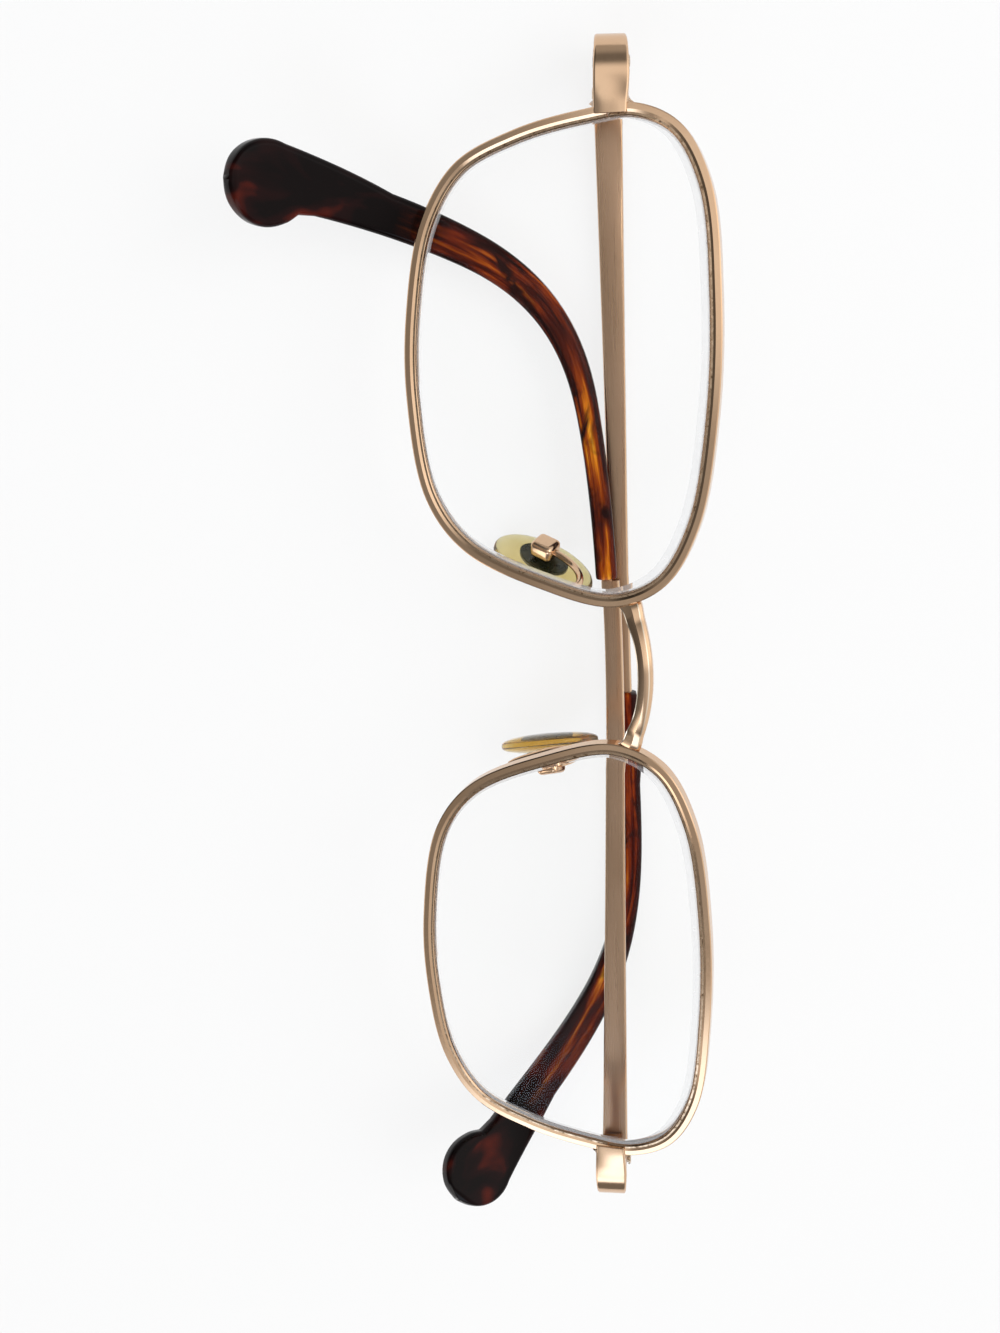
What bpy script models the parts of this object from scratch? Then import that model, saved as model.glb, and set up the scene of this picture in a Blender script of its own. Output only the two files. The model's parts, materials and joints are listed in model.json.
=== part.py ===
"""Metal-rimmed reading glasses, folded, lying on their temples.

Lengths are in millimetres and become metres where a mesh is written.
The front frame has its origin midway between the lenses, +X to the wearer's
left, +Y to the brow and +Z forward. Side is +1 for left and -1 for right.
"""
import math

import bmesh
import bpy
from mathutils import Euler, Matrix, Vector

MM = 0.001
SIDES = {"left": 1, "right": -1}

# How far a cutter runs past the piece it cuts
OVERREACH = 1.0

# How the folded glasses lie: the front leans back and to one side
FRONT_LEAN = 5.99
FRONT_ROLL = -3.681

# Clearances
SOLDER_GAP = 0.15
GROOVE_GAP = 0.2
PIN_GAP = 0.15
SEAT_GAP = 0.2

# Lens outline, as shares of the half width and half height, from the temple side over the brow
LENS_WIDTH = 53.0
LENS_HEIGHT = 35.0
LENS_DISTANCE = 70.3
LENS_CURVE_RADIUS = 219.0
LENS_WRAP = 1.9
OUTLINE_SHAPE = (
    (0.951, 0.103), (0.970, 0.446), (0.887, 0.714), (0.664, 0.903), (0.238, 0.983),
    (-0.234, 0.977), (-0.683, 0.869), (-0.932, 0.657), (-1.026, 0.331), (-0.955, -0.154),
    (-0.804, -0.646), (-0.589, -0.891), (-0.177, -1.000), (0.177, -0.994), (0.547, -0.891),
    (0.770, -0.674), (0.887, -0.309),
)
OUTLINE_STEPS = 4

# Rim wire
RIM_WIDTH = 1.35
RIM_DEPTH = 2.0
RIM_EDGE = 0.3
GROOVE_DEPTH = 0.4
GROOVE_WIDTH = 0.9
RIM_SPLIT_HEIGHT = 4.7
RIM_SPLIT = 0.2

# Lens
LENS_THICKNESS = 1.7
LENS_RIDGE_WIDTH = 0.5
LENS_RINGS = (0.02, 0.55, 0.9)

# Bridge, between the lenses' nasal edges
BRIDGE_END_GAP = 0.7
BRIDGE_SPAN = LENS_DISTANCE - LENS_WIDTH - 2 * BRIDGE_END_GAP
BRIDGE_FOOT_HEIGHT = 7.45
BRIDGE_RISE = 2.15
BRIDGE_FOOT_DEPTH = -1.9
BRIDGE_FORWARD = 1.9
BRIDGE_WIDTH = 1.7
BRIDGE_FLARE = 0.9
BRIDGE_FLARE_POWER = 4
BRIDGE_THICKNESS = 1.7
BRIDGE_ARCH = 0.85
BRIDGE_STEEPEST = 0.2
BRIDGE_STATIONS = 20
BRIDGE_SIDES = 12

# Hinge line
HINGE_BEYOND_LENS = 4.2
HINGE_OUT = (LENS_DISTANCE + LENS_WIDTH) / 2 + HINGE_BEYOND_LENS
HINGE_BACK = 9.6
HINGE_HEIGHT = {"left": 4.05, "right": 3.62}
HINGE_TILT = {"left": 9.0, "right": 13.0}
FOLD_OPEN = {"left": 0.0, "right": 3.4}

# Endpiece strap
STRAP_HEIGHT = 3.8
STRAP_REAR_HEIGHT = 3.3
STRAP_THICKNESS = 1.25
STRAP_END_THICKNESS = 0.6
STRAP_LAP = 0.5
STRAP_FRONT = 7.4
STRAP_OUTSIDE = 2.3
STRAP_BEND = 3.6
STRAP_ROUNDING = 0.4
BUTT_GAP = 0.15

# Blocks and screw that close the rim
BLOCK_LENGTH = 2.15
BLOCK_HEIGHT = 1.35
BLOCK_DEPTH = 1.7
RIM_SCREW_RADIUS = 0.42
RIM_SCREW_HEAD = 0.7
RIM_SCREW_HEAD_HEIGHT = 0.3
RIM_SCREW_POINT = 0.3

# Hinge
KNUCKLE_RADIUS = 0.95
KNUCKLE_TOP = 1.75
KNUCKLE_MIDDLE = 0.6
LEAF_START = 1.3
LEAF_THICKNESS = 0.85
WEB_INSET = 0.1
WEB_LAP = 0.2
WEB_THICKNESS = 1.1
BARREL_INSET = 0.04
TEMPLE_LEAF_LENGTH = 1.8
TEMPLE_LEAF_HEIGHT = 2.4
HINGE_SCREW_RADIUS = 0.5
HINGE_SCREW_HEAD = 0.75
HINGE_SCREW_HEAD_HEIGHT = 0.3
HINGE_SCREW_POINT = 0.2
HEAD_EDGE = 0.6
HEAD_TOP = 0.7

# Temple strip and core wire
STRIP_THICKNESS = 1.1
STRIP_ROOT_HEIGHT = 3.2
STRIP_END_HEIGHT = 2.1
STRIP_CHAMFER = 0.22
CORE_WIDTH = 1.2
CORE_THICKNESS = 0.8
STRIP_OFFSET = {"left": 0.24, "right": -0.12}
CORE_OFFSET = {"left": -0.4, "right": 0.4}
STRIP_RAKE = {"left": 0.0, "right": 1.5}
STRIP_TAPER = 1.6
STRIP_STATIONS = 7
CORE_STATIONS = 14

# Temple bend, as path lengths and angles; the hook and the curl are measured from the paddle
TEMPLE_LENGTH = 142.2
EASE_START = 46.0
EASE_BEND = {"left": 37.8, "right": -9.2}
HOOK_REACH = {"left": 49.7, "right": 60.1}
HOOK_LENGTH = {"left": 28.0, "right": 60.0}
HOOK_BEND = {"left": 42.5, "right": 55.7}
CURL_LENGTH = 27.0
CURL_RADIUS = 40.0

# Acetate tip, its lengths measured from the paddle
TIP_LENGTH = {"left": 67.05, "right": 70.35}
TIP_START_WIDTH = 2.55
TIP_NECK_WIDTH = 4.8
TIP_WIDEN_REACH = 55.2
TIP_WIDEN_LENGTH = 48.0
TIP_FLARE_LENGTH = 14.0
TIP_THICKNESS = 2.5
TIP_ROUNDING = 0.75
TIP_STATIONS = 17
PADDLE_RADIUS = 4.6
PADDLE_MERGE = 3.0
PADDLE_BLEND = 4
PADDLE_ANGLES = (-62, -45, -28, -12, 5, 22, 38, 52, 64, 75, 84)
BORE_END = 8.0

# Nose pads, their pins placed from the lenses' nasal edges
PAD_BESIDE_LENS = {"left": 4.65, "right": 3.8}
PAD_PIN_HEIGHT = {"left": -3.8, "right": -4.15}
PAD_PIN_BACK = 10.3
PAD_LEAN = 17.0
PAD_SPLAY = {"left": 17.0, "right": 28.0}
PAD_FRONTAL = 12.0
PAD_ROCK = {"left": -3.6, "right": 3.6}
PAD_LENGTH = 13.4
PAD_WIDTH = 7.4
PAD_THICKNESS = 2.4
PAD_FLATNESS = 0.75
PAD_BACK = 0.95
POCKET_OPEN = 0.5
INSERT_LENGTH = 6.4
INSERT_WIDTH = 3.8
INSERT_THICKNESS = 0.6
LUG_LENGTH = 1.5
LUG_THICKNESS = 0.9
LUG_REACH = 0.55
BOX_LENGTH = 2.9
BOX_WIDTH = 2.7
BOX_FRONT_SKIN = 0.35
BOX_FRONT = 0.6
BOX_BACK = 1.6
BOX_WALL = 0.6
BOX_ROUNDING = 0.5
PAD_PIN_RADIUS = 0.35
PAD_PIN_HEAD = 0.6
PAD_PIN_HEAD_HEIGHT = 0.25

# Pad arms
ARM_RADIUS = 0.42
ARM_INSET = 0.3
ARM_FOOT_HEIGHT = -7.2
ARM_RISE_HEIGHT = -3.0
ARM_BOW = {"left": 4.2, "right": 5.4}
ARM_STATIONS = 16

MATERIALS = {
    "rim_gold": ((0.56, 0.42, 0.27, 1.0), 0.28, 1.0),
    "strip_bronze": ((0.42, 0.31, 0.22, 1.0), 0.38, 1.0),
    "screw_steel": ((0.62, 0.58, 0.52, 1.0), 0.3, 1.0),
    "tortoiseshell": ((0.10, 0.03, 0.012, 1.0), 0.15, 0.0),
    "pad_amber": ((0.62, 0.55, 0.16, 1.0), 0.25, 0.0),
    "lens_clear": ((0.95, 0.97, 0.97, 1.0), 0.03, 0.0),
}


# Scene and materials

def clear_scene():
    for item in list(bpy.data.objects):
        bpy.data.objects.remove(item, do_unlink=True)


def make_material(name):
    colour, roughness, metallic = MATERIALS[name]
    material = bpy.data.materials.new(name)
    material.use_nodes = True
    shader = material.node_tree.nodes["Principled BSDF"]
    shader.inputs["Base Color"].default_value = colour
    shader.inputs["Roughness"].default_value = roughness
    shader.inputs["Metallic"].default_value = metallic
    material.diffuse_color = colour
    return material


def make_collection(name):
    collection = bpy.data.collections.new(name)
    bpy.context.scene.collection.children.link(collection)
    return collection


def add_empty(name, parent, location, rotation, order="XYZ"):
    empty = bpy.data.objects.new(name, None)
    empty.empty_display_size = 5 * MM
    empty.rotation_mode = order
    empty.location = Vector(location) * MM
    empty.rotation_euler = Euler([math.radians(angle) for angle in rotation], order)
    empty.parent = parent
    glasses.objects.link(empty)
    return empty


def add_object(name, mesh, material, parent, smooth_angle=35.0):
    piece = bpy.data.objects.new(name, mesh)
    mesh.materials.clear()
    mesh.materials.append(materials[material])
    piece.parent = parent
    glasses.objects.link(piece)
    mesh.shade_smooth()
    mesh.set_sharp_from_angle(angle=math.radians(smooth_angle))
    return piece


# Shape helpers

def to_mesh(name, shape):
    bmesh.ops.recalc_face_normals(shape, faces=shape.faces)
    mesh = bpy.data.meshes.new(name)
    shape.to_mesh(mesh)
    shape.free()
    return mesh


def loft(name, rings):
    """Skin a list of equal rings of points and cap both ends."""
    shape = bmesh.new()
    loops = [[shape.verts.new(Vector(point) * MM) for point in ring] for ring in rings]
    count = len(loops[0])
    for near, far in zip(loops, loops[1:]):
        for i in range(count):
            j = (i + 1) % count
            shape.faces.new((near[i], near[j], far[j], far[i]))
    shape.faces.new(loops[0])
    shape.faces.new(loops[-1])
    return to_mesh(name, shape)


def rounded_rectangle(low, high, half_thickness, radius, arc_steps):
    """Ring of (width, thickness) points with round corners, from low to high across."""
    points = []
    corners = (
        (high - radius, half_thickness - radius, 0),
        (low + radius, half_thickness - radius, 90),
        (low + radius, radius - half_thickness, 180),
        (high - radius, radius - half_thickness, 270),
    )
    for across, through, start in corners:
        for step in range(arc_steps + 1):
            angle = math.radians(start + 90.0 * step / arc_steps)
            points.append((across + radius * math.cos(angle), through + radius * math.sin(angle)))
    return points


def smooth_step(value):
    value = min(1.0, max(0.0, value))
    return value * value * (3 - 2 * value)


def blend(start, end, share):
    return start + (end - start) * share


def box_mesh(name, low, high, rounding=0.0):
    low, high = Vector(low), Vector(high)
    shape = bmesh.new()
    size = high - low
    middle = (high + low) / 2
    matrix = Matrix.Translation(middle * MM) @ Matrix.Diagonal((*(size * MM), 1))
    bmesh.ops.create_cube(shape, size=1.0, matrix=matrix)
    if rounding:
        bmesh.ops.bevel(shape, geom=shape.edges[:], offset=rounding * MM, segments=2, profile=0.5,
                        affect="EDGES")
    return to_mesh(name, shape)


def rod_mesh(name, radius, low, high, centre=(0, 0), axis="Y", segments=24):
    """Closed cylinder along Y or Z, between two places on its axis."""
    shape = bmesh.new()
    turn = Matrix.Rotation(math.radians(-90), 4, "X") if axis == "Y" else Matrix.Identity(4)
    middle = (low + high) / 2
    place = (centre[0], middle, centre[1]) if axis == "Y" else (centre[0], centre[1], middle)
    matrix = Matrix.Translation(Vector(place) * MM) @ turn
    bmesh.ops.create_cone(shape, cap_ends=True, segments=segments, radius1=radius * MM,
                          radius2=radius * MM, depth=(high - low) * MM, matrix=matrix)
    return to_mesh(name, shape)


def cutter(name, mesh, parent):
    piece = bpy.data.objects.new(name, mesh)
    piece.parent = parent
    piece.hide_render = True
    piece.display_type = "WIRE"
    cutters.objects.link(piece)
    return piece


def boolean(piece, other, operation):
    modifier = piece.modifiers.new(operation.title() + " " + other.name, "BOOLEAN")
    modifier.operation = operation
    modifier.solver = "EXACT"
    modifier.object = other


def turned_screw(name, parent, material, profile, segments=20):
    """Screw or pin turned about its own Z axis from a profile of (radius, height)."""
    shape = bmesh.new()
    points = [shape.verts.new((radius * MM, 0, height * MM)) for radius, height in profile]
    for near, far in zip(points, points[1:]):
        shape.edges.new((near, far))
    mesh = bpy.data.meshes.new(name)
    shape.to_mesh(mesh)
    shape.free()
    piece = add_object(name, mesh, material, parent)
    turn = piece.modifiers.new("Turn", "SCREW")
    turn.steps = segments
    turn.render_steps = segments
    turn.use_merge_vertices = True
    turn.merge_threshold = 0.00001
    turn.use_smooth_shade = True
    return piece


# Lens outline and front surface

def smooth_loop(points, steps):
    """Closed centripetal Catmull-Rom curve through the points."""
    points = [Vector(point) for point in points]
    count = len(points)
    gaps = [math.sqrt((points[(i + 1) % count] - points[i]).length) for i in range(count)]
    curve = []
    for i in range(count):
        p0, p1, p2, p3 = (points[(i + k) % count] for k in (-1, 0, 1, 2))
        t1 = gaps[i - 1]
        t2 = t1 + gaps[i]
        t3 = t2 + gaps[(i + 1) % count]
        for step in range(steps):
            t = blend(t1, t2, step / steps)
            a1 = p0.lerp(p1, t / t1)
            a2 = p1.lerp(p2, (t - t1) / (t2 - t1))
            a3 = p2.lerp(p3, (t - t2) / (t3 - t2))
            b1 = a1.lerp(a2, t / t2)
            b2 = a2.lerp(a3, (t - t1) / (t3 - t1))
            curve.append(b1.lerp(b2, (t - t1) / (t2 - t1)))
    return curve


def inward(points):
    """Unit normals that point into a loop that runs anticlockwise."""
    count = len(points)
    normals = []
    for i in range(count):
        along = points[(i + 1) % count] - points[i - 1]
        normals.append(Vector((-along.y, along.x)).normalized())
    return normals


def on_front(side, point, depth):
    """Place an outline point on the curved and wrapped front of one lens."""
    across, up = point
    bow = -(across * across + up * up) / (2 * LENS_CURVE_RADIUS) - depth
    wrap = math.radians(LENS_WRAP)
    x = LENS_DISTANCE / 2 + across * math.cos(wrap) + bow * math.sin(wrap)
    z = bow * math.cos(wrap) - across * math.sin(wrap)
    return Vector((side * x, up, z))


def scaled_outline():
    shape = [(LENS_WIDTH / 2 * x, LENS_HEIGHT / 2 * y) for x, y in OUTLINE_SHAPE]
    return smooth_loop(shape, OUTLINE_STEPS)


def split_outline():
    """Outline opened at the split, with its two ends on the split's faces."""
    loop = scaled_outline()
    count = len(loop)
    for i in range(count):
        here, there = loop[i], loop[(i + 1) % count]
        if here.x > 0 and here.y <= RIM_SPLIT_HEIGHT < there.y:
            crossing = i
    here, there = loop[crossing], loop[(crossing + 1) % count]
    along = (there - here).normalized()
    middle = here.lerp(there, (RIM_SPLIT_HEIGHT - here.y) / (there.y - here.y))
    first = middle + along * RIM_SPLIT / 2
    last = middle - along * RIM_SPLIT / 2
    order = [loop[(crossing + 1 + k) % count] for k in range(count)]
    kept = [point for point in order if (point - middle).length > RIM_SPLIT]
    return [first] + kept + [last]


def rim_section():
    """Points of (inset from the outer edge, depth behind the front) round the wire."""
    e = RIM_EDGE
    middle = RIM_DEPTH / 2
    lip = GROOVE_WIDTH / 2
    return (
        (0, e), (0, RIM_DEPTH - e), (e, RIM_DEPTH), (RIM_WIDTH - e, RIM_DEPTH),
        (RIM_WIDTH, RIM_DEPTH - e), (RIM_WIDTH, middle + lip),
        (RIM_WIDTH - GROOVE_DEPTH, middle), (RIM_WIDTH, middle - lip),
        (RIM_WIDTH, e), (RIM_WIDTH - e, 0), (e, 0),
    )


def make_rim(name, side):
    path = split_outline()
    normals = inward(path)
    for end, along in ((0, path[1] - path[0]), (-1, path[-1] - path[-2])):
        normals[end] = Vector((-along.y, along.x)).normalized()
    rings = []
    for point, normal in zip(path, normals):
        rings.append([on_front(side, point + normal * inset, depth) for inset, depth in rim_section()])
    return add_object(name, loft(name, rings), "rim_gold", front)


def make_lens(name, side):
    """Curved disc with a V ridge that sits in the rim's groove."""
    loop = scaled_outline()
    normals = inward(loop)
    body = RIM_WIDTH + GROOVE_GAP
    ridge = RIM_WIDTH - GROOVE_DEPTH + GROOVE_GAP * 1.5
    front_depth = (RIM_DEPTH - LENS_THICKNESS) / 2
    back_depth = front_depth + LENS_THICKNESS
    middle = RIM_DEPTH / 2
    half_ridge = LENS_RIDGE_WIDTH / 2
    edge = [point + normal * body for point, normal in zip(loop, normals)]
    tip = [point + normal * ridge for point, normal in zip(loop, normals)]

    def ring(points, scale, depth):
        return [on_front(side, point * scale, depth) for point in points]

    rings = [ring(edge, scale, front_depth) for scale in LENS_RINGS]
    rings.append(ring(edge, 1.0, front_depth))
    rings.append(ring(edge, 1.0, middle - half_ridge))
    rings.append(ring(tip, 1.0, middle))
    rings.append(ring(edge, 1.0, middle + half_ridge))
    rings.append(ring(edge, 1.0, back_depth))
    rings.extend(ring(edge, scale, back_depth) for scale in reversed(LENS_RINGS))
    add_object(name, loft(name, rings), "lens_clear", front)


# Bridge

def make_bridge():
    half = BRIDGE_SPAN / 2
    rings = []
    for station in range(BRIDGE_STATIONS + 1):
        share = blend(-1.0, 1.0, station / BRIDGE_STATIONS)
        inner = 1 - share * share
        arch = inner ** BRIDGE_ARCH if abs(share) < 1 else 0.0
        centre = Vector((share * half, BRIDGE_FOOT_HEIGHT + BRIDGE_RISE * arch,
                         BRIDGE_FOOT_DEPTH + BRIDGE_FORWARD * inner))
        steepness = max(BRIDGE_STEEPEST, inner) ** (BRIDGE_ARCH - 1)
        slope = -2 * BRIDGE_ARCH * share * BRIDGE_RISE / half * steepness
        if abs(share) == 1:
            slope = 0.0
        across = Vector((-slope, 1, 0)).normalized()
        half_width = (BRIDGE_WIDTH + BRIDGE_FLARE * abs(share) ** BRIDGE_FLARE_POWER) / 2
        ring = []
        for step in range(BRIDGE_SIDES):
            angle = 2 * math.pi * step / BRIDGE_SIDES
            ring.append(centre + across * half_width * math.cos(angle)
                        + Vector((0, 0, BRIDGE_THICKNESS / 2 * math.sin(angle))))
        rings.append(ring)
    add_object("bridge", loft("bridge", rings), "rim_gold", front)


# Endpiece, rim blocks and hinge: all in the tilted frame of one hinge

def rim_outside():
    """Outer edge of the rim at the split, measured out from the hinge."""
    return on_front(1, split_outline()[0], 0).x - HINGE_OUT


def make_endpiece(name, frame, rim):
    """Strap that laps over the rim, runs out and turns back to the hinge."""
    side = SIDES[name]
    middle = STRAP_THICKNESS / 2
    start = rim_outside() - STRAP_LAP
    line_x = STRAP_OUTSIDE - middle
    line_z = STRAP_FRONT - middle
    path = [((start, line_z), (0, 1), 0)]
    for step in range(9):
        angle = math.radians(90 - 90 * step / 8)
        out = (math.cos(angle), math.sin(angle))
        path.append(((line_x - STRAP_BEND + STRAP_BEND * out[0],
                      line_z - STRAP_BEND + STRAP_BEND * out[1]), out, step / 8))
    path.append(((line_x, BUTT_GAP), (1, 0), 1))
    rings = []
    for (x, z), (nx, nz), share in path:
        half = blend(STRAP_HEIGHT, STRAP_REAR_HEIGHT, share) / 2
        section = rounded_rectangle(-half, half, middle, STRAP_ROUNDING, 2)
        rings.append([(side * (x + nx * through), across, z + nz * through) for across, through in section])
    label = name + "_endpiece"
    piece = add_object(label, loft(label, rings), "rim_gold", frame)
    lap_z = STRAP_FRONT - STRAP_END_THICKNESS
    reach = STRAP_HEIGHT
    step_range = sorted((side * (start - OVERREACH), side * (start + STRAP_LAP + SOLDER_GAP)))
    step_mesh = box_mesh("step", (step_range[0], -reach, 0), (step_range[1], reach, lap_z))
    boolean(piece, cutter(label + "_step", step_mesh, frame), "DIFFERENCE")
    notch_range = sorted((side * (start - SOLDER_GAP), side * (start + STRAP_LAP + OVERREACH)))
    notch_half = STRAP_HEIGHT / 2 + SOLDER_GAP
    notch_mesh = box_mesh("notch", (notch_range[0], -notch_half, lap_z - SOLDER_GAP),
                          (notch_range[1], notch_half, STRAP_FRONT + OVERREACH))
    boolean(rim, cutter(label + "_notch", notch_mesh, frame), "DIFFERENCE")


def make_rim_blocks(name, frame):
    side = SIDES[name]
    start = rim_outside() + SOLDER_GAP
    top_z = STRAP_FRONT - STRAP_THICKNESS - SOLDER_GAP
    low_z = top_z - BLOCK_DEPTH
    middle = (side * (start + BLOCK_LENGTH / 2), (top_z + low_z) / 2)
    x_range = sorted((side * start, side * (start + BLOCK_LENGTH)))
    hole_mesh = rod_mesh("rim_screw_hole", RIM_SCREW_RADIUS + PIN_GAP, -BLOCK_HEIGHT - OVERREACH,
                         BLOCK_HEIGHT + OVERREACH, middle, segments=20)
    hole = cutter(name + "_rim_screw_hole", hole_mesh, frame)
    for level, sign in (("upper", 1), ("lower", -1)):
        heights = sorted((sign * RIM_SPLIT / 2, sign * (RIM_SPLIT / 2 + BLOCK_HEIGHT)))
        label = "%s_rim_block_%s" % (name, level)
        block = box_mesh(label, (x_range[0], heights[0], low_z), (x_range[1], heights[1], top_z))
        piece = add_object(label, block, "rim_gold", frame)
        boolean(piece, hole, "DIFFERENCE")
    seat = -RIM_SPLIT / 2 - BLOCK_HEIGHT - SEAT_GAP
    length = BLOCK_HEIGHT * 2 + RIM_SPLIT + SEAT_GAP
    profile = (
        (0, length), (RIM_SCREW_RADIUS * HEAD_EDGE, length), (RIM_SCREW_RADIUS, length - RIM_SCREW_POINT),
        (RIM_SCREW_RADIUS, 0), (RIM_SCREW_HEAD, 0), (RIM_SCREW_HEAD, -RIM_SCREW_HEAD_HEIGHT * HEAD_EDGE),
        (RIM_SCREW_HEAD * HEAD_TOP, -RIM_SCREW_HEAD_HEIGHT), (0, -RIM_SCREW_HEAD_HEIGHT),
    )
    place = add_empty(name + "_rim_screw_line", frame, (middle[0], seat, middle[1]), (-90, 0, 0))
    turned_screw(name + "_rim_screw", place, "screw_steel", profile)


def make_front_hinge(name, frame):
    side = SIDES[name]
    inner = STRAP_OUTSIDE - STRAP_THICKNESS - SOLDER_GAP
    x_range = sorted((side * inner, side * (inner - LEAF_THICKNESS)))
    label = name + "_front_hinge"
    leaf_end = STRAP_FRONT - STRAP_THICKNESS / 2 - STRAP_BEND
    leaf = box_mesh(label, (x_range[0], -KNUCKLE_TOP, LEAF_START), (x_range[1], KNUCKLE_TOP, leaf_end))
    piece = add_object(label, leaf, "rim_gold", frame)
    middle = KNUCKLE_MIDDLE + PIN_GAP
    for level, low, high in (("top", middle, KNUCKLE_TOP), ("low", -KNUCKLE_TOP, -middle)):
        web_range = sorted((side * (inner - WEB_INSET), side * (inner - WEB_INSET - WEB_THICKNESS)))
        web_mesh = box_mesh("web", (web_range[0], low, 0), (web_range[1], high, LEAF_START + WEB_LAP))
        boolean(piece, cutter("%s_web_%s" % (label, level), web_mesh, frame), "UNION")
        barrel_mesh = rod_mesh("barrel", KNUCKLE_RADIUS - BARREL_INSET, low, high)
        boolean(piece, cutter("%s_barrel_%s" % (label, level), barrel_mesh, frame), "UNION")
    bore_mesh = rod_mesh("bore", HINGE_SCREW_RADIUS + PIN_GAP, -KNUCKLE_TOP - OVERREACH,
                         KNUCKLE_TOP + OVERREACH)
    boolean(piece, cutter(label + "_bore", bore_mesh, frame), "DIFFERENCE")


def make_temple_hinge(name, frame):
    side = SIDES[name]
    inner = STRAP_OUTSIDE - STRIP_THICKNESS - SOLDER_GAP
    label = name + "_temple_hinge"
    x_range = sorted((-side * LEAF_START, -side * (LEAF_START + TEMPLE_LEAF_LENGTH)))
    half = TEMPLE_LEAF_HEIGHT / 2
    leaf = box_mesh(label, (x_range[0], -half, -inner), (x_range[1], half, LEAF_THICKNESS - inner))
    piece = add_object(label, leaf, "rim_gold", frame)
    web_range = sorted((0, -side * (LEAF_START + WEB_LAP)))
    web_mesh = box_mesh("web", (web_range[0], -KNUCKLE_MIDDLE, WEB_INSET - inner),
                        (web_range[1], KNUCKLE_MIDDLE, WEB_INSET))
    boolean(piece, cutter(label + "_web", web_mesh, frame), "UNION")
    barrel_mesh = rod_mesh("barrel", KNUCKLE_RADIUS - BARREL_INSET, -KNUCKLE_MIDDLE, KNUCKLE_MIDDLE)
    boolean(piece, cutter(label + "_barrel", barrel_mesh, frame), "UNION")
    bore_mesh = rod_mesh("bore", HINGE_SCREW_RADIUS + PIN_GAP, -KNUCKLE_MIDDLE - OVERREACH,
                         KNUCKLE_MIDDLE + OVERREACH)
    boolean(piece, cutter(label + "_bore", bore_mesh, frame), "DIFFERENCE")


def make_hinge_screw(name, frame):
    seat = KNUCKLE_TOP + SEAT_GAP
    length = KNUCKLE_TOP * 2 + SEAT_GAP
    profile = (
        (0, HINGE_SCREW_HEAD_HEIGHT), (HINGE_SCREW_HEAD * HEAD_TOP, HINGE_SCREW_HEAD_HEIGHT),
        (HINGE_SCREW_HEAD, HINGE_SCREW_HEAD_HEIGHT * HEAD_EDGE), (HINGE_SCREW_HEAD, 0),
        (HINGE_SCREW_RADIUS, 0), (HINGE_SCREW_RADIUS, -length + HINGE_SCREW_POINT),
        (HINGE_SCREW_RADIUS * HEAD_EDGE, -length), (0, -length),
    )
    place = add_empty(name + "_hinge_screw_line", frame, (0, seat, 0), (-90, 0, 0))
    turned_screw(name + "_hinge_screw", place, "screw_steel", profile)


# Temple path: u along from the hinge, v up, w toward the front

def temple_heading(name, length):
    ease = max(0.0, (length - EASE_START) / (TEMPLE_LENGTH - EASE_START)) ** 2
    hook_start = TEMPLE_LENGTH - HOOK_REACH[name]
    hook = smooth_step((length - hook_start) / HOOK_LENGTH[name])
    return math.radians(STRIP_RAKE[name] - EASE_BEND[name] * ease - HOOK_BEND[name] * hook)


def curl_angle(length):
    return max(0.0, length - (TEMPLE_LENGTH - CURL_LENGTH)) / CURL_RADIUS


def temple_stations(name, lengths):
    """Centre, up and out directions at each path length."""
    side = SIDES[name]
    depth = STRIP_THICKNESS / 2 - STRAP_OUTSIDE
    point = Vector((0, STRIP_OFFSET[name] + CORE_OFFSET[name], depth))
    travelled = 0.0
    stations = []
    for length in lengths:
        pieces = max(1, math.ceil((length - travelled) / 0.5))
        step = (length - travelled) / pieces
        for _ in range(pieces):
            heading = temple_heading(name, travelled + step / 2)
            rise = curl_angle(travelled + step / 2)
            point = point + step * Vector((math.cos(heading) * math.cos(rise),
                                           math.sin(heading) * math.cos(rise), math.sin(rise)))
            travelled += step
        heading = temple_heading(name, length)
        rise = curl_angle(length)
        up = Vector((side * math.sin(heading), math.cos(heading), 0))
        out = Vector((side * math.cos(heading) * math.sin(rise), -math.sin(heading) * math.sin(rise),
                      math.cos(rise)))
        stations.append((Vector((-side * point.x, point.y, point.z)), up, out))
    return stations


def section_ring(station, section):
    centre, up, out = station
    return [centre + up * across + out * through for across, through in section]


def make_temple(name, frame):
    """Metal strip with its core wire, which lies in the tip's bore."""
    start = TEMPLE_LENGTH - TIP_LENGTH[name]
    seat = start - SEAT_GAP
    shift = CORE_OFFSET[name]
    strip_lengths = [blend(BUTT_GAP, seat, step / STRIP_STATIONS) for step in range(STRIP_STATIONS + 1)]
    core_lengths = [seat]
    for step in range(1, CORE_STATIONS + 1):
        core_lengths.append(blend(start, TEMPLE_LENGTH - BORE_END, step / CORE_STATIONS))
    rings = []
    for length, station in zip(strip_lengths, temple_stations(name, strip_lengths)):
        share = (1 - length / start) ** STRIP_TAPER
        half = blend(STRIP_END_HEIGHT, STRIP_ROOT_HEIGHT, share) / 2
        section = rounded_rectangle(-half - shift, half - shift, STRIP_THICKNESS / 2, STRIP_CHAMFER, 1)
        rings.append(section_ring(station, section))
    core = rounded_rectangle(-CORE_WIDTH / 2, CORE_WIDTH / 2, CORE_THICKNESS / 2, STRIP_CHAMFER, 1)
    for station in temple_stations(name, core_lengths):
        rings.append(section_ring(station, core))
    add_object(name + "_temple", loft(name + "_temple", rings), "strip_bronze", frame)


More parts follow.
